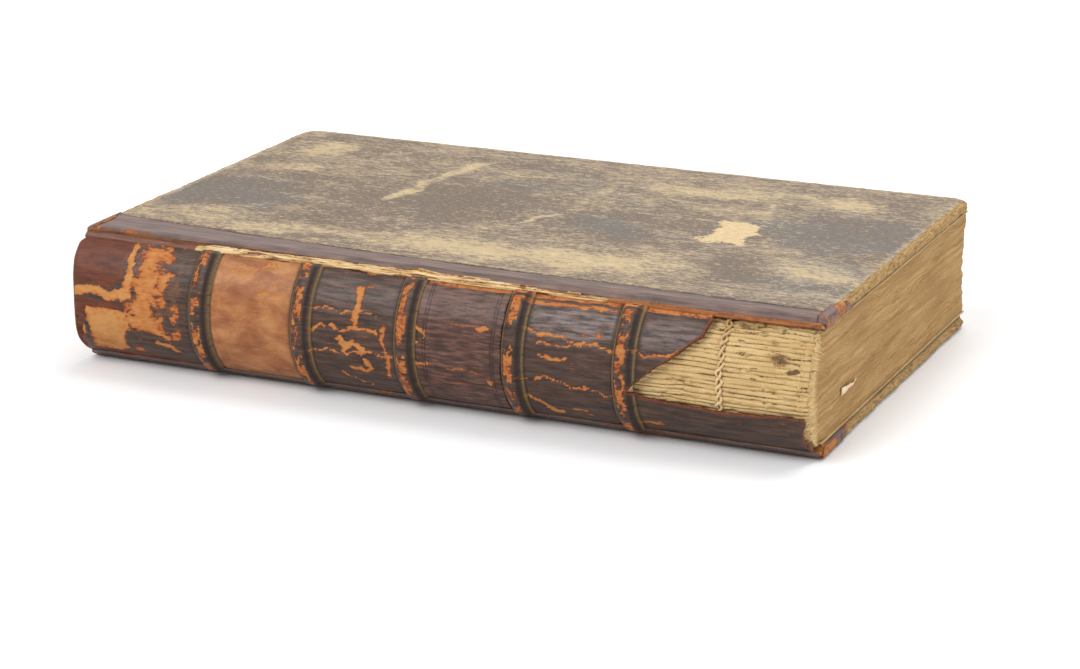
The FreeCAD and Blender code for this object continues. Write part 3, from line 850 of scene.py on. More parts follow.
def volume_label():
    """The label of the fourth panel: chipped edges, traces of rules and of small rings."""
    start, end = LABEL_LO[0] - HEAD_X - 1.0, LABEL_HI[0] - HEAD_X + 0.9
    half = (LABEL_HI[2] - LABEL_LO[2]) / 2 + 1.6
    half_arc = LEATHER_OUT * math.asin(min(0.82, half / LEATHER_OUT))
    x, arc = np.meshgrid(np.linspace(start, end, 70), np.linspace(-half_arc, half_arc, 96), indexing="ij")
    ragged = 0.7 * uneven(x, arc, 2.5, 2.5, 44)
    lost = np.maximum(np.maximum(start - x, x - end) + 0.5, np.abs(arc) - half_arc + 0.7) + ragged
    chip = [(start - 1, 5.8), (start + 1.8, 4.0), (start + 3.2, 3.4), (start + 1.6, 1.6), (start - 1, 2.2)]
    keep, x, arc = snap(x, arc, np.maximum(lost, inside(x, arc, chip) + 0.4 * ragged))
    rules = [step(np.abs(x - at), 0.28, 0.08) for at in (start + 2.4, start + 3.2, end - 3.2, end - 2.4)]
    rings = [0.3 * step(np.abs(np.hypot(x - at, arc - row) - 0.9), 0.3, 0.1)
             for row in (11.4, 8.4) for at in np.linspace(start + 6.0, end - 6.0, 5)]
    radius = LEATHER_OUT + 0.2 + 0.1 * uneven(x, arc, 6.0, 1.5, 46) - 0.08 * np.max(rules, axis=0)
    wear = np.maximum(0.22, 0.95 * paint(*warp(x, arc, 0.6, 1.4, 47), LABEL_MARKS))
    wear = np.maximum(wear, 0.5 * step(np.abs(arc), half_arc - 2.5, half_arc))
    make("volume_label_worn",
         *shell(on_spine(x, arc, radius), on_spine(x, arc, radius - 0.3), keep, flow=stack(x, arc, 0.0),
                # the upper part of the label is marked for a painted highlight
                wear=wear, groove=np.max(rules + rings, axis=0), sheen=0.6 * step(arc, 4, 10)),
         LABEL, "book", "label_leather", ["volume_label"])


# Text block

def fold_place(share):
    """Angle of a section's fold on the rounded spine, for a share of the thickness from the back."""
    return (share - 0.5) * 2 * math.asin(SHOULDER_HALF / FOLD_RADIUS)


def leaf_place(share, along):
    """Depth and height of a leaf: along runs 0 to 1 behind the joint line, and 1 to 2 up to the fore edge."""
    angle = fold_place(share)
    fold_y = AXIS_Y - FOLD_RADIUS * np.cos(angle)
    fold_z = MID_Z + FOLD_RADIUS * np.sin(angle)
    flat_z = TEXT_BOTTOM + TEXT_THICKNESS * share
    fore_y = TEXT_HI[1] - FORE_HOLLOW * (1 - (2 * share - 1) ** 2)
    back, front = np.clip(along, 0, 1), np.clip(along - 1, 0, 1)
    y = fold_y + (JOINT_Y - fold_y) * back + (fore_y - JOINT_Y) * front
    return y, fold_z + (flat_z - fold_z) * step(back, 0, 1)


def section_wave(share, x):
    """How far a place lies from the middle of its section's fold: 0 in the middle, 1 between sections."""
    wander = 0.35 * uneven(x, 0, 14.0, 1.0, 61) + 0.5 * (grain(x, share * SECTIONS, 9.0, 1.0, 63) - 0.5)
    place = share * SECTIONS + wander * np.clip(12 * share * (1 - share), 0, 1)
    return np.abs(place - np.floor(place) - 0.5) * 2


def text_points(share, along, x):
    """Points of the text block's skin, with the leaves' edges uneven where they show."""
    y, z = leaf_place(share, along)
    at_spine, at_fore = step(along, 0.5, 0.0), step(along, 1.97, 2.0)
    tail, head = TEXT_HI[0], TEXT_LO[0]
    at_tail, at_head = step(x, tail - 1.0, tail), step(x, head + 1.0, head)
    notch = step(rough(x, share * SECTIONS, 4.0, 1.2, 71), 0.60, 0.72)
    at_kettle = step(np.abs(x - KETTLES[1]), 0.9, 0.4)
    drop = at_spine * (0.12 + 0.55 * section_wave(share, x) ** 3 + 0.45 * notch + 0.5 * at_kettle)
    angle = fold_place(share)
    radius = 2.4 + 2.0 * rough(share * SECTIONS, 0, 1.5, 1.0, 73)
    depth = y - (AXIS_Y - FOLD_RADIUS * np.cos(angle))
    from_tail = np.clip((x - tail + radius) / radius, 0, 1) * step(depth, 0.3, 0.0)
    from_fold = np.clip((radius - depth) / radius, 0, 1) * at_tail
    quarter = math.pi / 4
    ragged = np.maximum(from_tail, from_fold) * 1.3 * uneven(x + y, share * SECTIONS, 1.2, 0.9, 74)
    drop = drop + radius * (1 - np.cos(quarter * from_tail)) + ragged * step(depth, 0.3, 0.0)
    worn_y = radius - radius * np.sin(quarter * from_fold) / math.sin(quarter) - depth
    y = y + np.where(from_fold > 0, worn_y * 0.3, 0) + drop * np.cos(angle)
    z = z - drop * np.sin(angle)
    y = y - at_fore * 0.22 * rough(x, share * TEXT_THICKNESS, 40.0, 0.9, 75)
    leaf = rough(y, share * TEXT_THICKNESS, 26.0, 0.55, 77, 3)
    bundle = grain(0, share * SECTIONS, 1.0, 1.0, 79)
    back_in = 0.35 * leaf + 0.45 * bundle + radius * (1 - np.cos(quarter * from_fold)) + ragged
    return stack(x + (at_head - at_tail) * back_in, y, z)


FOLD_STAINS = [
    (glow, 0.95, (195.6, 8.8), (3.6, 1.5), -10),
    (spot, 1.1, (199.4, 6.0), (1.9, 0.7)),
    (glow, 0.7, (193.4, 13.6), (2.2, 0.8)),
    (glow, 0.75, (187.4, 16.8), (2.8, 0.8)),
    (glow, 0.55, (200.8, 0.8), (1.8, 0.8), 20),
    (glow, 0.5, (184.5, -1.0), (2.4, 1.0)),
    (glow, 0.6, (196.5, -9.5), (6.0, 0.9)),
    (glow, 0.5, (190, -4.5), (3.0, 0.7)),
    (glow, 0.5, (172, -6), (4.0, 0.7)),
]
FINE_FROM = 153.0
FINE_SPACING = 0.6


def text_block():
    """The leaves as one closed skin, with the points of its six sides welded where they meet."""
    shares = np.linspace(0, 1, SECTIONS * 7 + 1)
    alongs = np.concatenate([np.linspace(0, 1, 11), 1 + np.linspace(0, 1, 46)[1:]])
    xs = np.concatenate([np.linspace(TEXT_LO[0], HEAD_X + FINE_FROM, 22),
                         np.linspace(HEAD_X + FINE_FROM + FINE_SPACING, TEXT_HI[0], 96)])
    parts = []
    for name, share, along, x in (("tail", shares, alongs, TEXT_HI[0]), ("head", shares, alongs, TEXT_LO[0]),
                                  ("spine", shares, 0.0, xs), ("fore", shares, 2.0, xs),
                                  ("back", 0.0, alongs, xs), ("front", 1.0, alongs, xs)):
        share, along, x = (grid.squeeze() for grid in np.meshgrid(share, along, x, indexing="ij"))
        place = text_points(share, along, x)
        from_head = x - HEAD_X
        flow_along = from_head if name == "spine" else place[..., 1] - JOINT_Y
        flow = stack(flow_along, share * TEXT_THICKNESS, from_head)
        patchy = 0.25 + 1.2 * rough(x, share * SECTIONS, 11.0, 1.4, 83)
        # painted shade in the dips between the sections at the spine, patchy in strength
        valley = section_wave(share, x) ** 3 * step(along, 0.5, 0.0) * patchy
        arc = fold_place(share) * LEATHER_OUT
        specks = step(rough(from_head, arc, 2.6, 0.7, 87, 3), 0.66, 0.76)
        stain = np.maximum(paint(*warp(from_head, arc, 1.0, 1.8, 81), FOLD_STAINS), 0.8 * specks)
        parts.append((place.reshape(-1, 3), grid_faces(*share.shape), {
            "flow": flow.reshape(-1, 3), "fold": step(along, 0.75, 0.25).ravel(), "valley": valley.ravel(),
            "stain": (stain * step(along, 0.6, 0.2)).ravel(),
        }))
    points, faces, attributes = join(parts)
    keys = np.round(points * 2000).astype(np.int64)
    _, first, same = np.unique(keys, axis=0, return_index=True, return_inverse=True)
    make("text_block_leaves", points, first[same.reshape(-1)[faces]], attributes, OLD_PAPER,
         "book", "text_paper", ["text_block"])


def kettle_stitch(name, x_middle, seed):
    """Two linked threads that wind across the folds."""
    share = np.linspace(1.2 / SECTIONS, 1 - 1.2 / SECTIONS, 264)
    turn = share * SECTIONS * 2 * math.pi * 0.3
    parts = []
    for phase, side in ((0.0, 1), (math.pi, -1)):
        stray = uneven(share * SECTIONS, 0.2 * side, 1.6, 1.0, seed)
        x = x_middle + side * 0.6 * np.sin(turn) + 1.6 * stray
        radius = FOLD_RADIUS - 0.2 + 0.3 * np.cos(turn + phase) - 0.5 * stray
        thick = 0.26 + 0.2 * rough(share * 28, side, 2.0, 1.0, seed + 3)
        parts.append(tube(around_axis(x, fold_place(share), radius), thick))
    make(name + "_loops", *join(parts), THREAD, "book", "linen_thread", [name])


# Covers

FORE_CORNER = 5.5
CORNER_REACH = 18.0


def board_outline():
    """The outline of a board, from the joint round the three free edges, as lengths, points and normals."""
    r = FORE_CORNER
    x0, x1, y1 = HEAD_X, HEAD_X + LENGTH, JOINT_Y + WIDTH
    quarter = np.linspace(0, math.pi / 2, 12)
    fore_tail = [(x1 - r + r * math.cos(t), y1 - r + r * math.sin(t)) for t in quarter]
    fore_head = [(x0 + r - r * math.sin(t), y1 - r + r * math.cos(t)) for t in quarter]
    path = np.array([(x1, JOINT_Y + 0.3)] + fore_tail + fore_head + [(x0, JOINT_Y + 0.3)])
    lengths = np.concatenate([[0], np.cumsum(np.hypot(*np.diff(path, axis=0).T))])
    at = np.arange(0, lengths[-1], 0.7)
    x, y = np.interp(at, lengths, path[:, 0]), np.interp(at, lengths, path[:, 1])
    along = np.stack([np.gradient(x), np.gradient(y)], -1)
    along /= np.linalg.norm(along, axis=1)[:, None]
    return at[:, None], x[:, None], y[:, None], along[:, 1:], -along[:, :1]


def frayed_board(side):
    """The pasteboard: rough layered edges round three sides, rounded by wear."""
    seed = 100 if side == "front" else 200
    length, path_x, path_y, normal_x, normal_y = board_outline()
    bottom, top = BOARD_LO[2] + 0.25, BOARD_HI[2]
    middle, half = (bottom + top) / 2, (top - bottom) / 2
    profile = [(-5.0, -half), (-2.0, -half)]
    for t in np.linspace(-math.pi / 2, math.pi / 2, 15):
        profile.append((0.9 * math.cos(t) - 1.0, half * math.sin(t)))
    out, height = np.array(profile + [(-2.0, half), (-5.0, half)]).T[:, None]
    layer = uneven(length, height + 20, 3.2, 0.6, seed + 1)
    dents = rough(length, 0 * height, 16.0, 1.0, seed + 2)
    fray = uneven(length, height + 50, 0.9, 0.8, seed + 3, 2)
    worn = step(out, -2.0, -0.6)
    place = out + worn * (0.9 * layer + 0.9 * (dents - 0.62) + 0.45 * fray)
    ring = stack(path_x + normal_x * place, path_y + normal_y * place,
                 middle + height * (1 - 0.12 * worn * dents))
    rows, cols = ring.shape[:2]
    index = np.arange(rows * cols).reshape(rows, cols)
    lower, upper = index[:, 0], index[:, -1]
    near = np.arange((rows - 1) // 2)
    far = rows - 1 - near
    faces = np.concatenate([
        grid_faces(rows, cols)[:, ::-1],
        np.stack([lower[near], lower[near + 1], lower[far - 1], lower[far]], -1),
        np.stack([upper[far], upper[far - 1], upper[near + 1], upper[near]], -1),
        np.stack([index[0, :-1], index[0, 1:], index[-1, 1:], index[-1, :-1]], -1),
    ])
    attributes = {
        "flow": stack(length, height, out).reshape(-1, 3),
        "stain": (worn * (0.25 + 0.35 * step(dents, 0.45, 0.7))).reshape(-1),
    }
    make(f"{side}_board_frayed", from_side(side, ring.reshape(-1, 3)), faces, attributes,
         PULP, f"{side}_cover", "pasteboard", [f"{side}_board"])


PAPER_MARKS = [
    (area, 0.62, [(8, 92), (10, 108), (20, 113), (27, 106), (24, 92)], 6.0),
    (area, 0.6, [(14, 73), (18, 86), (32, 84), (30, 74)], 6.0),
    (stroke, 1.0, [(58.6, 54.5), (61.2, 60), (62.4, 70)], 2.6),
    (stroke, 0.8, [(61.6, 60), (63.5, 74), (66, 88), (69.3, 103)], 3.4),
    (glow, 0.62, (16, 20), (26, 12)),
    (glow, 0.72, (48, 18), (22, 8)),
    (glow, 0.95, (98, 20), (34, 12)),
    (glow, 0.9, (134, 22), (30, 11)),
    (glow, 0.62, (158, 22), (14, 9)),
    (stroke, 0.9, [(102.0, 47), (104, 51), (106.4, 56)], 2.0),
    (glow, 0.78, (138, 97), (26, 10)),
    (glow, 0.76, (178, 103), (18, 9)),
    (stroke, 0.52, [(152.5, 106), (158, 90), (164, 73)], 2.6),
    (glow, 0.6, (152, 80), (22, 8)),
    (glow, 0.66, (186, 34), (18, 16)),
    (stroke, 0.5, [(106.5, 62), (110, 78), (115, 96)], 3.0),
    (glow, 0.5, (84, 92), (16, 12)),
    (glow, 0.5, (42, 100), (14, 10)),
]
PAPER_DARK = [
    (glow, 0.5, (12, 46), (24, 16)),
    (glow, 0.34, (74, 62), (34, 20), 15),
    (glow, 0.5, (186, 72), (20, 16)),
    (glow, 0.45, (172, 30), (8, 12), 20),
    (glow, 0.35, (122, 54), (24, 12)),
    (glow, 0.25, (58, 40), (14, 10)),
]
PAPER_BLUE = [
    (glow, 0.9, (186, 70), (26, 24)),
    (glow, 0.8, (14, 44), (26, 18)),
    (glow, 0.7, (192, 30), (18, 26)),
    (glow, 0.6, (128, 50), (30, 16)),
    (glow, 0.5, (100, 88), (28, 18)),
]
PALE_PATCH = [(150, 54), (156, 49), (163, 50), (165.5, 62), (164, 71), (152, 72), (153, 62)]
LAP = [(0, 13.4), (4, 12.8), (20, 11.2), (41, 9.3), (65, 7.8), (89, 6.6), (120, 5.6), (152, 5.6), (174, 4.6),
       (190, 4.4), (202, 4.1), (205, 3.6)]


def lap(x):
    """Distance from the joint at which the paper side begins, over the leather."""
    return np.interp(x, *np.array(LAP).T)


def side_paper_sheet(side):
    """The rubbed paper side, worn back from the edges of the board in an uneven line."""
    seed, spacing = (300, 0.75) if side == "front" else (400, 1.2)
    x, y = np.meshgrid(np.arange(0.0, LENGTH + 0.1, spacing), np.arange(2.4, WIDTH + 0.1, spacing),
                       indexing="ij")
    dx = np.abs(x - LENGTH / 2) - (LENGTH / 2 - FORE_CORNER)
    dy = y - (WIDTH - FORE_CORNER)
    round_edge = np.where((dx > 0) & (dy > 0), np.hypot(dx, dy), np.maximum(dx, dy)) - FORE_CORNER
    worn_back = 0.9 + 1.1 * rough(x, y, 12.0, 12.0, seed)
    worn_back = worn_back + step(x, LENGTH - 25, LENGTH) * rough(x, y, 4.0, 4.0, seed + 1)
    lost = round_edge + worn_back + 0.9 * uneven(x, y, 1.8, 1.8, seed + 2)
    keep, x, y = snap(x, y, np.maximum(lost, lap(x) - y + 0.5 * uneven(x, y, 9.0, 9.0, seed + 4)))
    if side == "front":
        u, v = warp(*warp(x, y, 6.0, 22.0, seed + 11), 2.4, 5.0, seed + 12)
        wear, dark, blue = paint(u, v, PAPER_MARKS), paint(u, v, PAPER_DARK), paint(u, v, PAPER_BLUE)
        pale = area(*warp(*warp(x, y, 4.4, 8.0, seed + 13), 1.8, 2.2, seed + 15), PALE_PATCH, 3.4)
    else:
        wear = 0.5 * step(rough(x, y, 40.0, 30.0, seed + 6), 0.45, 0.7)
        dark = 0.3 * step(rough(x, y, 50.0, 40.0, seed + 7), 0.5, 0.7)
        blue = rough(x, y, 60.0, 60.0, seed + 8)
        pale = step(rough(x, y, 22.0, 22.0, seed + 9), 0.74, 0.8)
    wear = np.maximum(wear, 0.36) - dark + 0.5 * uneven(x, y, 16.0, 7.0, seed + 14, 5)
    wear = np.maximum(wear, 0.6 * step(round_edge, -5.0, -1.5))
    z = TOP - 0.02 - 0.35 * step(round_edge, -3.5, -0.3) - 0.10 * rough(x, y, 14.0, 14.0, seed + 3)
    top = from_joint(x, y, z - 0.05 * step(wear, 0.4, 0.7))
    make(f"{side}_paper_rubbed",
         *shell(from_side(side, top), from_side(side, top - [0, 0, 0.22]), keep, flow=stack(x, y, 0.0),
                wear=wear, blue=blue, pale=pale),
         SIDE_PAPER, f"{side}_cover", "side_paper", [f"{side}_side_paper"])


FLAT_SHARE = 0.45
ROLL_SHARE = 0.86


def board_strip(side):
    """Calf along the joint of a board: flat under the paper, then rolled over to a rubbed orange rim."""
    seed, front = (500, 1.0) if side == "front" else (600, 0.0)
    across = np.concatenate([np.linspace(0, FLAT_SHARE, 14)[:-1],
                             np.linspace(FLAT_SHARE, ROLL_SHARE, 15)[:-1],
                             np.linspace(ROLL_SHARE, 1, 6)])
    x, t = np.meshgrid(np.arange(0.0, LENGTH + 0.01, 0.6), across, indexing="ij")
    down = step(x, 40, 185) if front else 0.35
    ridge_y = -0.55 - 1.15 * down + 0.25 * uneven(x, 0, 18.0, 1.0, seed)
    ridge_z = TOP - 1.0 - 1.1 * down + 0.3 * uneven(x, 0, 14.0, 1.0, seed + 1)
    start_y = lap(x) + 1.2
    bend_y = 1.6
    flat = np.clip(t / FLAT_SHARE, 0, 1)
    roll = np.clip((t - FLAT_SHARE) / (ROLL_SHARE - FLAT_SHARE), 0, 1) * math.pi / 2
    tuck = np.clip((t - ROLL_SHARE) / (1 - ROLL_SHARE), 0, 1)
    y = start_y + (bend_y - start_y) * flat + (ridge_y - bend_y) * np.sin(roll) + 0.45 * tuck
    z = TOP - 0.22 + 0.04 * flat + (ridge_z - TOP + 0.18) * (1 - np.cos(roll)) - 1.15 * tuck
    z = z + 0.14 * uneven(x, t * 14, 8.0, 3.0, seed + 3)
    keep, x, t = snap(x, t, 0.05 * (rough(x, 0, 3.0, 1.0, seed + 2) - 1.0) + (t - 0.985))
    ends = np.minimum(x, LENGTH - x)
    outside = from_joint(x, y, z - 0.5 * step(ends, 1.4, 0.0) ** 2)
    lean = roll + 0.3 * tuck
    within = outside - 0.45 * stack(0.0, -np.sin(lean), np.cos(lean))
    rubbed = step(t + 0.05 * uneven(x, t * 20, 5.0, 3.0, seed + 4), 0.83, 0.90)
    wear = 0.2 + 0.55 * rubbed + front * 0.22 * step(x, 150, 196) * step(t, 0.62, 0.9)
    wear = wear + 0.3 * step(ends, 5.0, 0.5) + 0.3 * step(x, 44, 8) * step(t, 0.34, 0.7)
    groove = 0.55 * step(np.abs(y - lap(x)), 0.5, 0.1) + 0.75 * step(t, 0.975, 1.0)
    groove = groove + 0.4 * step(np.abs(y - 0.5 * lap(x) - 0.9), 0.32, 0.08)
    points, faces, attributes = join([
        shell(outside, within, keep, flow=stack(x, y + 3 * t, 0.0), wear=wear, groove=groove,
              red=front * 0.6 * step(x, 30, 8) * step(t, 0.6, 0.9)),
        corner_turn_in(0.0, -1, seed + 6, ridge_y[0, 0], ridge_z[0, 0]),
        corner_turn_in(LENGTH, 1, seed + 8, ridge_y[-1, 0], ridge_z[-1, 0]),
    ])
    make(f"{side}_strip_worn", from_side(side, points), faces, attributes,
         BOARD_CALF, f"{side}_cover", "cover_calf", [f"{side}_leather"])


SIDE_START = 2.6
SIDE_END = 6.0


def corner_turn_in(end, outward, seed, ridge_y, ridge_z):
    """The leather that wraps a head or tail edge of the board, and closes the end of the rolled edge."""
    top, bottom = TOP - 0.05, BOARD_LO[2] - 0.06
    section = np.array([(-3.0, top), (-1.4, top), (-0.5, top - 0.2), (0.0, top - 0.8),
                        (0.05, (top + bottom) / 2), (0.0, bottom + 0.6), (-0.5, bottom + 0.1),
                        (-1.6, bottom), (-13.0, bottom)])
    lengths = np.concatenate([[0], np.cumsum(np.hypot(*np.diff(section, axis=0).T))])
    around_at = np.concatenate([np.arange(0, 8.0, 0.35), np.arange(8.0, lengths[-1], 1.2)])
    y, around = np.meshgrid(np.arange(ridge_y + 0.1, CORNER_REACH + 2, 0.45), around_at, indexing="ij")
    reach = np.interp(around, [0, 2.5, 6.0, 20], [8.5, 15.0, CORNER_REACH, 14.0])
    lost = y - reach + 1.8 * uneven(y, around, 2.5, 2.5, seed)
    lost = np.maximum(lost, 0.9 * (rough(y, around, 2.0, 2.0, seed + 1) - 0.2) - around)
    if outward > 0:
        crack = 0.22 - np.abs(y - 13.0 - 0.8 * np.sin(around))
        lost = np.maximum(lost, np.where(around < 5.6, crack, -9))
    keep, y, around = snap(y, around, lost)
    drop = np.clip((1.6 - y) / (1.6 - ridge_y), 0, 1)
    roof = ridge_z + (top - ridge_z) * np.sqrt(1 - drop**2)
    sill = bottom + (ridge_z - 1.2 - bottom) * step(y, 1.0, -0.1)
    z = np.clip(np.interp(around, lengths, section[:, 1]), sill, roof)
    lift = 0.12 * rough(y, around, 3.0, 3.0, seed + 2)
    side_on = step(around, 1.2, SIDE_START) * step(around, 7.2, SIDE_END)
    out = np.interp(around, lengths, section[:, 0]) + side_on * lift
    z = z + (1 - side_on) * np.where(around < 3, lift, -0.3 * lift)
    outside = from_joint(end + outward * out, y, z)
    within = outside + 0.35 * stack(-outward * side_on, 0.0, np.where(around < 3, -1.0, 1.0) * (1 - side_on))
    wear = 0.38 + 0.25 * step(rough(y, around, 3.0, 6.0, seed + 3), 0.45, 0.6) + 0.2 * step(lost, -1.2, 0.0)
    return shell(outside, within, keep, flow=stack(y, around, 30.0 * outward), wear=wear,
                 groove=0.9 * step(lost, -0.35, 0.0), red=0.5 if outward < 0 else 0.0)


# Joints

SHOWN_CORDS = (BANDS[0], BANDS[2])


def joint_lining():
    """Torn cream lining and loose strands along the cracked front joint."""
    x, share = np.meshgrid(np.arange(34.0, 150.0, 0.5), np.linspace(0, 1, 7), indexing="ij")
    y = -2.9 + 2.5 * share + 0.5 * uneven(x, share, 3.0, 0.6, 702)
    z = TRIM_Z - 0.25 + 1.15 * share + 0.35 * np.sin(math.pi * share)
    z = z + 0.45 * uneven(x, share, 2.2, 0.5, 701) * np.sin(math.pi * np.clip(share + 0.15, 0, 1))
    reach = 0.75 - 0.9 * step(x, 112, 148) * rough(x, 0, 14.0, 1.0, 703) - 0.5 * step(x, 42, 36)
    reach = reach + sum(0.5 * np.exp(-(((x - band) / 4.0) ** 2)) for band in SHOWN_CORDS)
    keep, x, share = snap(x, share, share - reach + 0.35 * uneven(x, share, 1.4, 1.0, 704))
    top = from_joint(x, y, z)
    stain = 0.75 * step(rough(x, share * 4, 5.0, 0.5, 706), 0.42, 0.62) + 0.25 * step(share, 0.3, 0.0)
    parts = [shell(top, top - [0, 0, 0.3], keep, flow=stack(x, share * 3, 0.0), stain=stain)]
    for k in range(26):
        begin = 36.0 + 72.0 * lattice(k, 1, 705)
        length = 12.0 + 26.0 * lattice(k, 2, 705)
        level = lattice(k, 3, 705)
        at = np.arange(begin, min(begin + length, 126.0), 0.8)
        sway = uneven(at, 0, 6.0, 1.0, 720 + k)
        lump = sum(np.exp(-(((at - band) / 3.5) ** 2)) for band in SHOWN_CORDS)
        path = from_joint(at, -2.7 + 2.0 * level + 0.9 * sway - 0.5 * lump,
                          TRIM_Z - 0.1 + 1.1 * level + 0.7 * sway + 0.9 * lump * level)
        width = 0.13 + 0.16 * lattice(k, 4, 705) + 0.1 * lump
        ends = np.minimum(at - begin, begin + length - at)
        around = np.repeat(at, TUBE_SIDES)
        parts.append(tube(path, width * (0.25 + 0.75 * step(ends, 0, 3)),
                          flow=stack(around, level * 5 + k, 0.0),
                          stain=np.full(len(around), 0.7 * lattice(k, 5, 705))))
    lining = make("front_joint_lining", *join(parts), FIBRES, None, "lining_paper")
    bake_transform(lining)


def joint_cords(side, edge, turn):
    """The frayed strands of the cords where they cross a joint."""
    along = np.linspace(0, 1, 12)
    parts = []
    for k, band in enumerate(BANDS):
        height = 1.5 if band in SHOWN_CORDS else 0.9
        for strand in range(3):
            x = band + (strand - 1) * 0.8 + 0.4 * uneven(along * 5, strand, 1.0, 1.0, 710 + k)
            z = edge + turn * (-0.9 + height * np.sin(math.pi * np.clip(along * 0.75, 0, 1)))
            parts.append(tube(from_joint(x, -2.9 + 4.2 * along, z), 0.42 * (1 - 0.35 * along)))
    cords = make(f"{side}_joint_cords", *join(parts), CORD, None, "hemp_cord")
    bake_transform(cords)


def front_joint_leather():
    """What is left of the leather in the cracked front joint, under the torn lining."""
    x, share = np.meshgrid(np.linspace(0.6, LENGTH - 1.2, 280), np.linspace(0, 1, 12), indexing="ij")
    sway = uneven(x, 0, 16.0, 1.0, 811)
    crack = step(np.abs(share - 0.62 - 0.25 * sway), 0.16, 0.03)
    z = TRIM_Z - 0.35 + 1.0 * share + 0.5 * np.sin(math.pi * share) + 0.3 * sway
    z = z + 0.25 * uneven(x, share, 4.0, 0.3, 812) - 0.35 * crack
    outside = from_joint(x, -2.75 + 2.2 * share, z)
    wear = 0.42 + 0.35 * (rough(x, share, 9.0, 0.5, 813) - 0.4) + 0.2 * step(x, 118, 130)
    piece = make("front_joint_leather",
                 *shell(outside, outside - [0, -0.1, 0.35], flow=stack(x, 4 * share, 0.0), wear=wear,
                        groove=0.85 * crack, red=0.5), BOARD_CALF, None, "cover_calf")
    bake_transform(piece)


def back_joint_leather():
    """The unbroken leather of the back joint."""
    edge = TOP - TRIM_Z
    profile = np.array([(-3.4, edge + 0.35), (-2.7, edge - 0.1), (-2.0, 1.55), (-1.3, 1.1), (-0.5, 0.5),
                        (0.4, 0.15), (1.4, 0.05)])
    xs = np.linspace(LEATHER_LO[0] - HEAD_X + 0.6, LENGTH - 1.4, 270)
    x, share = np.meshgrid(xs, np.linspace(0, len(profile) - 1, 25), indexing="ij")
    y, z = (np.interp(share, range(len(profile)), column) for column in profile.T)
    outside = from_joint(x, y, z + 0.12 * uneven(x, share, 6.0, 4.0, 801))
    wear = 0.25 + 0.25 * step(rough(x, share, 9.0, 6.0, 802), 0.5, 0.7)
    piece = make("back_joint_leather",
                 *shell(outside, outside + [0, 0.15, 0.4], flow=stack(x, share, 0.0), wear=wear,
                        groove=0.0, red=0.0), BOARD_CALF, None, "cover_calf")
    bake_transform(piece)


def hinge_paper(side):
    """The fold of the endpaper in the gutter between the text block and a board."""
    under = TEXT_TOP + 0.25
    path = np.array([(0.9, under + 0.1), (0.3, under + 0.1), (0.08, under + 0.3), (0.06, TOP - 2.6),
                     (0.1, TOP - 2.3), (0.16, TOP - 2.2), (0.22, TOP - 2.3), (0.26, TOP - 2.6),
                     (0.27, under + 0.35), (0.5, under + 0.2)])
    xs = np.linspace(TEXT_LO[0] + 1.5, TEXT_HI[0] - 1.5, 40)
    x, along = np.meshgrid(xs, np.linspace(0, len(path) - 1, 28), indexing="ij")
    y, z = (np.interp(along, range(len(path)), column) for column in path.T)
    outside = stack(x, y + JOINT_Y, z)
    piece = make(f"{side}_endpaper_fold",
                 *shell(from_side(side, outside), from_side(side, outside + [0, 0.02, 0.03])),
                 ENDPAPER, None, "endpaper")
    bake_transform(piece)


# Torn scraps of paper

def corner_frays():
    """Curled ends of the folds at the worn tail corner of the spine."""
    at = np.linspace(0, 1, 9)
    parts = []
    for k in range(90):
        chance = [lattice(k, j, 905) for j in range(7)]
        x = TEXT_HI[0] - 3.4 + 2.4 * chance[3] + (1.2 + 2.6 * chance[2]) * at * 0.7
        curl = 0.9 * np.sin(math.pi * at * (0.6 + 0.7 * chance[4]))
        sink = np.clip(x - TEXT_HI[0] + 2.6, 0, 3) * 0.75
        radius = FOLD_RADIUS - 0.25 + 0.55 * at * chance[6] - sink
        turn = fold_place(0.16 + 0.78 * chance[1]) + (curl * (chance[5] - 0.5) * 1.6) / FOLD_RADIUS
        around = np.repeat(at * 4, TUBE_SIDES)
        plain = np.ones(len(around))
        parts.append(tube(around_axis(x, turn, radius), 0.26 * (1.1 - 0.8 * at),
                          flow=stack(around, k * 1.3, 0.0), fold=plain, valley=0 * plain, stain=0.1 * plain))
    make("tail_corner_frays", *join(parts), OLD_PAPER, "book", "text_paper")


def paper_flake():
    """A small torn flake that stands out from the tail edge of the leaves."""
    u, v = np.meshgrid(np.linspace(0, 1, 14), np.linspace(0, 1, 6), indexing="ij")
    y = JOINT_Y + 14.6 + 11.0 * u + 1.4 * uneven(u * 9, v * 3, 1.0, 1.0, 901)
    z = 12.6 + (v - 0.5) * (1.9 - 1.1 * u) + 1.3 * uneven(u * 9, v, 1.0, 1.0, 902)
    outside = stack(TEXT_HI[0] + 0.1 + 0.5 * np.sin(3 * u) * v, y, z)
    make("tail_paper_flake", *shell(outside, outside - [0.12, 0, 0]), FLAKE, "book", "text_paper")


def dress_solids():
    """Finishes of the solids that keep their own shape."""
    finishes = {"head_endband": THREAD}
    for side in ("front", "back"):
        finishes[f"{side}_flyleaf"] = FLYLEAF
        finishes[f"{side}_pastedown"] = ENDPAPER
        finishes[f"{side}_paper_turn_in"] = TURN_IN
        finishes[f"{side}_cord_slips"] = CORD
    for i in range(1, 6):
        finishes[f"sewing_cord_{i}"] = CORD
        finishes[f"spine_lining_{i}"] = LINING
    for name, material in finishes.items():
        mesh = frame["nodes"][name].data
        mesh.materials.clear()
        mesh.materials.append(material)


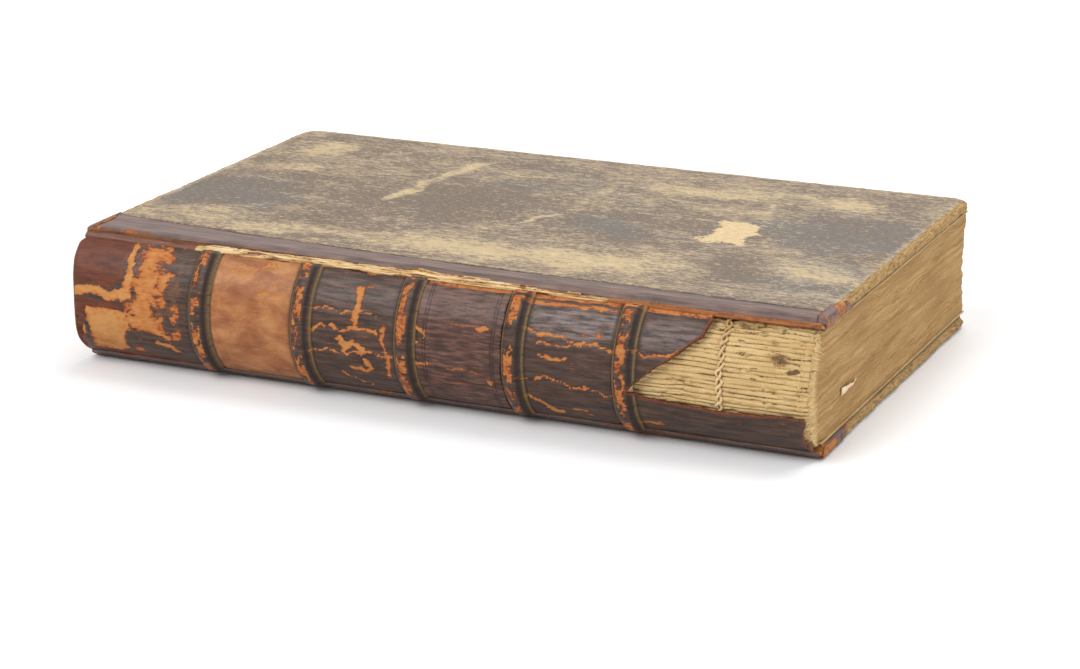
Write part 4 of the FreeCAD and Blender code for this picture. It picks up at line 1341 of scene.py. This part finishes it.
spine_leather()
volume_label()
text_block()
kettle_stitch("head_kettle_stitch", KETTLES[0], 91)
kettle_stitch("tail_kettle_stitch", KETTLES[1], 92)
for cover in ("front", "back"):
    frayed_board(cover)
    side_paper_sheet(cover)
    board_strip(cover)
    hinge_paper(cover)
joint_lining()
joint_cords("front", TRIM_Z, 1)
joint_cords("back", TOP - TRIM_Z, -1)
front_joint_leather()
back_joint_leather()
corner_frays()
paper_flake()
dress_solids()


# Stage, light and camera

FLOOR_REACH = 1.3
FLOOR_COLOUR = colour(240, 240, 241)
FILL_STRENGTH = 0.55
CAMERA_AZIMUTH = 24.065
CAMERA_ELEVATION = 17.221
CAMERA_FROM_JOINT = (310.19, -632.40, 236.72)
CAMERA_LENS = 97.7
SENSOR_WIDTH = 36


def stage():
    """A plain pale floor."""
    material = bpy.data.materials.new("floor")
    material.use_nodes = True
    inputs = material.node_tree.nodes["Principled BSDF"].inputs
    inputs["Base Color"].default_value = FLOOR_COLOUR
    inputs["Roughness"].default_value = 0.6
    inputs["Specular IOR Level"].default_value = 0.2
    corners = [(-FLOOR_REACH, -FLOOR_REACH, 0), (FLOOR_REACH, -FLOOR_REACH, 0), (FLOOR_REACH, FLOOR_REACH, 0),
               (-FLOOR_REACH, FLOOR_REACH, 0)]
    floor_mesh = bpy.data.meshes.new("floor")
    floor_mesh.from_pydata(corners, [], [(0, 1, 2, 3)])
    floor_mesh.materials.append(material)
    floor = bpy.data.objects.new("floor", floor_mesh)
    bpy.context.scene.collection.objects.link(floor)


def world():
    """Soft fill light all round, and plain white where the camera or a reflection sees it."""
    studio = bpy.data.worlds.new("studio")
    bpy.context.scene.world = studio
    studio.use_nodes = True
    nodes, links = studio.node_tree.nodes, studio.node_tree.links
    nodes.clear()
    path = nodes.new("ShaderNodeLightPath")
    seen = nodes.new("ShaderNodeMath")
    seen.operation = "MAXIMUM"
    links.new(path.outputs["Is Camera Ray"], seen.inputs[0])
    links.new(path.outputs["Is Glossy Ray"], seen.inputs[1])
    blend = nodes.new("ShaderNodeMixShader")
    links.new(seen.outputs[0], blend.inputs[0])
    for socket, strength in ((1, FILL_STRENGTH), (2, 1.0)):
        background = nodes.new("ShaderNodeBackground")
        background.inputs["Color"].default_value = (1, 1, 1, 1)
        background.inputs["Strength"].default_value = strength
        links.new(background.outputs[0], blend.inputs[socket])
    out = nodes.new("ShaderNodeOutputWorld")
    links.new(blend.outputs[0], out.inputs["Surface"])


def look(name, data, place, direction):
    """Puts a lamp or a camera at a place, turned to look along a direction."""
    made = bpy.data.objects.new(name, data)
    made.location = place
    made.rotation_mode = "QUATERNION"
    made.rotation_quaternion = direction.to_track_quat("-Z", "Y")
    bpy.context.scene.collection.objects.link(made)
    return made


def lamp(name, place, size, power):
    """A square soft box that looks at the middle of the floor."""
    light = bpy.data.lights.new(name, "AREA")
    light.size = size
    light.energy = power
    look(name, light, place, -Vector(place))


def camera():
    """The camera of the photograph, fitted to the edges of the book."""
    azimuth, elevation = math.radians(CAMERA_AZIMUTH), math.radians(CAMERA_ELEVATION)
    back = Vector((math.sin(azimuth) * math.cos(elevation), -math.cos(azimuth) * math.cos(elevation),
                   math.sin(elevation)))
    data = bpy.data.cameras.new("camera")
    data.sensor_width = SENSOR_WIDTH
    data.lens = CAMERA_LENS
    x, y, z = CAMERA_FROM_JOINT
    bpy.context.scene.camera = look("camera", data, (x * MM, (y + JOINT_Y) * MM, z * MM), -back)


stage()
world()
lamp("key", (-0.5, -0.9, 1.1), 0.9, 14)
lamp("top", (0.2, 0.7, 1.2), 1.0, 12)
lamp("side", (1.3, -0.2, 0.5), 0.8, 5)
camera()
bpy.context.scene.view_settings.view_transform = "Standard"
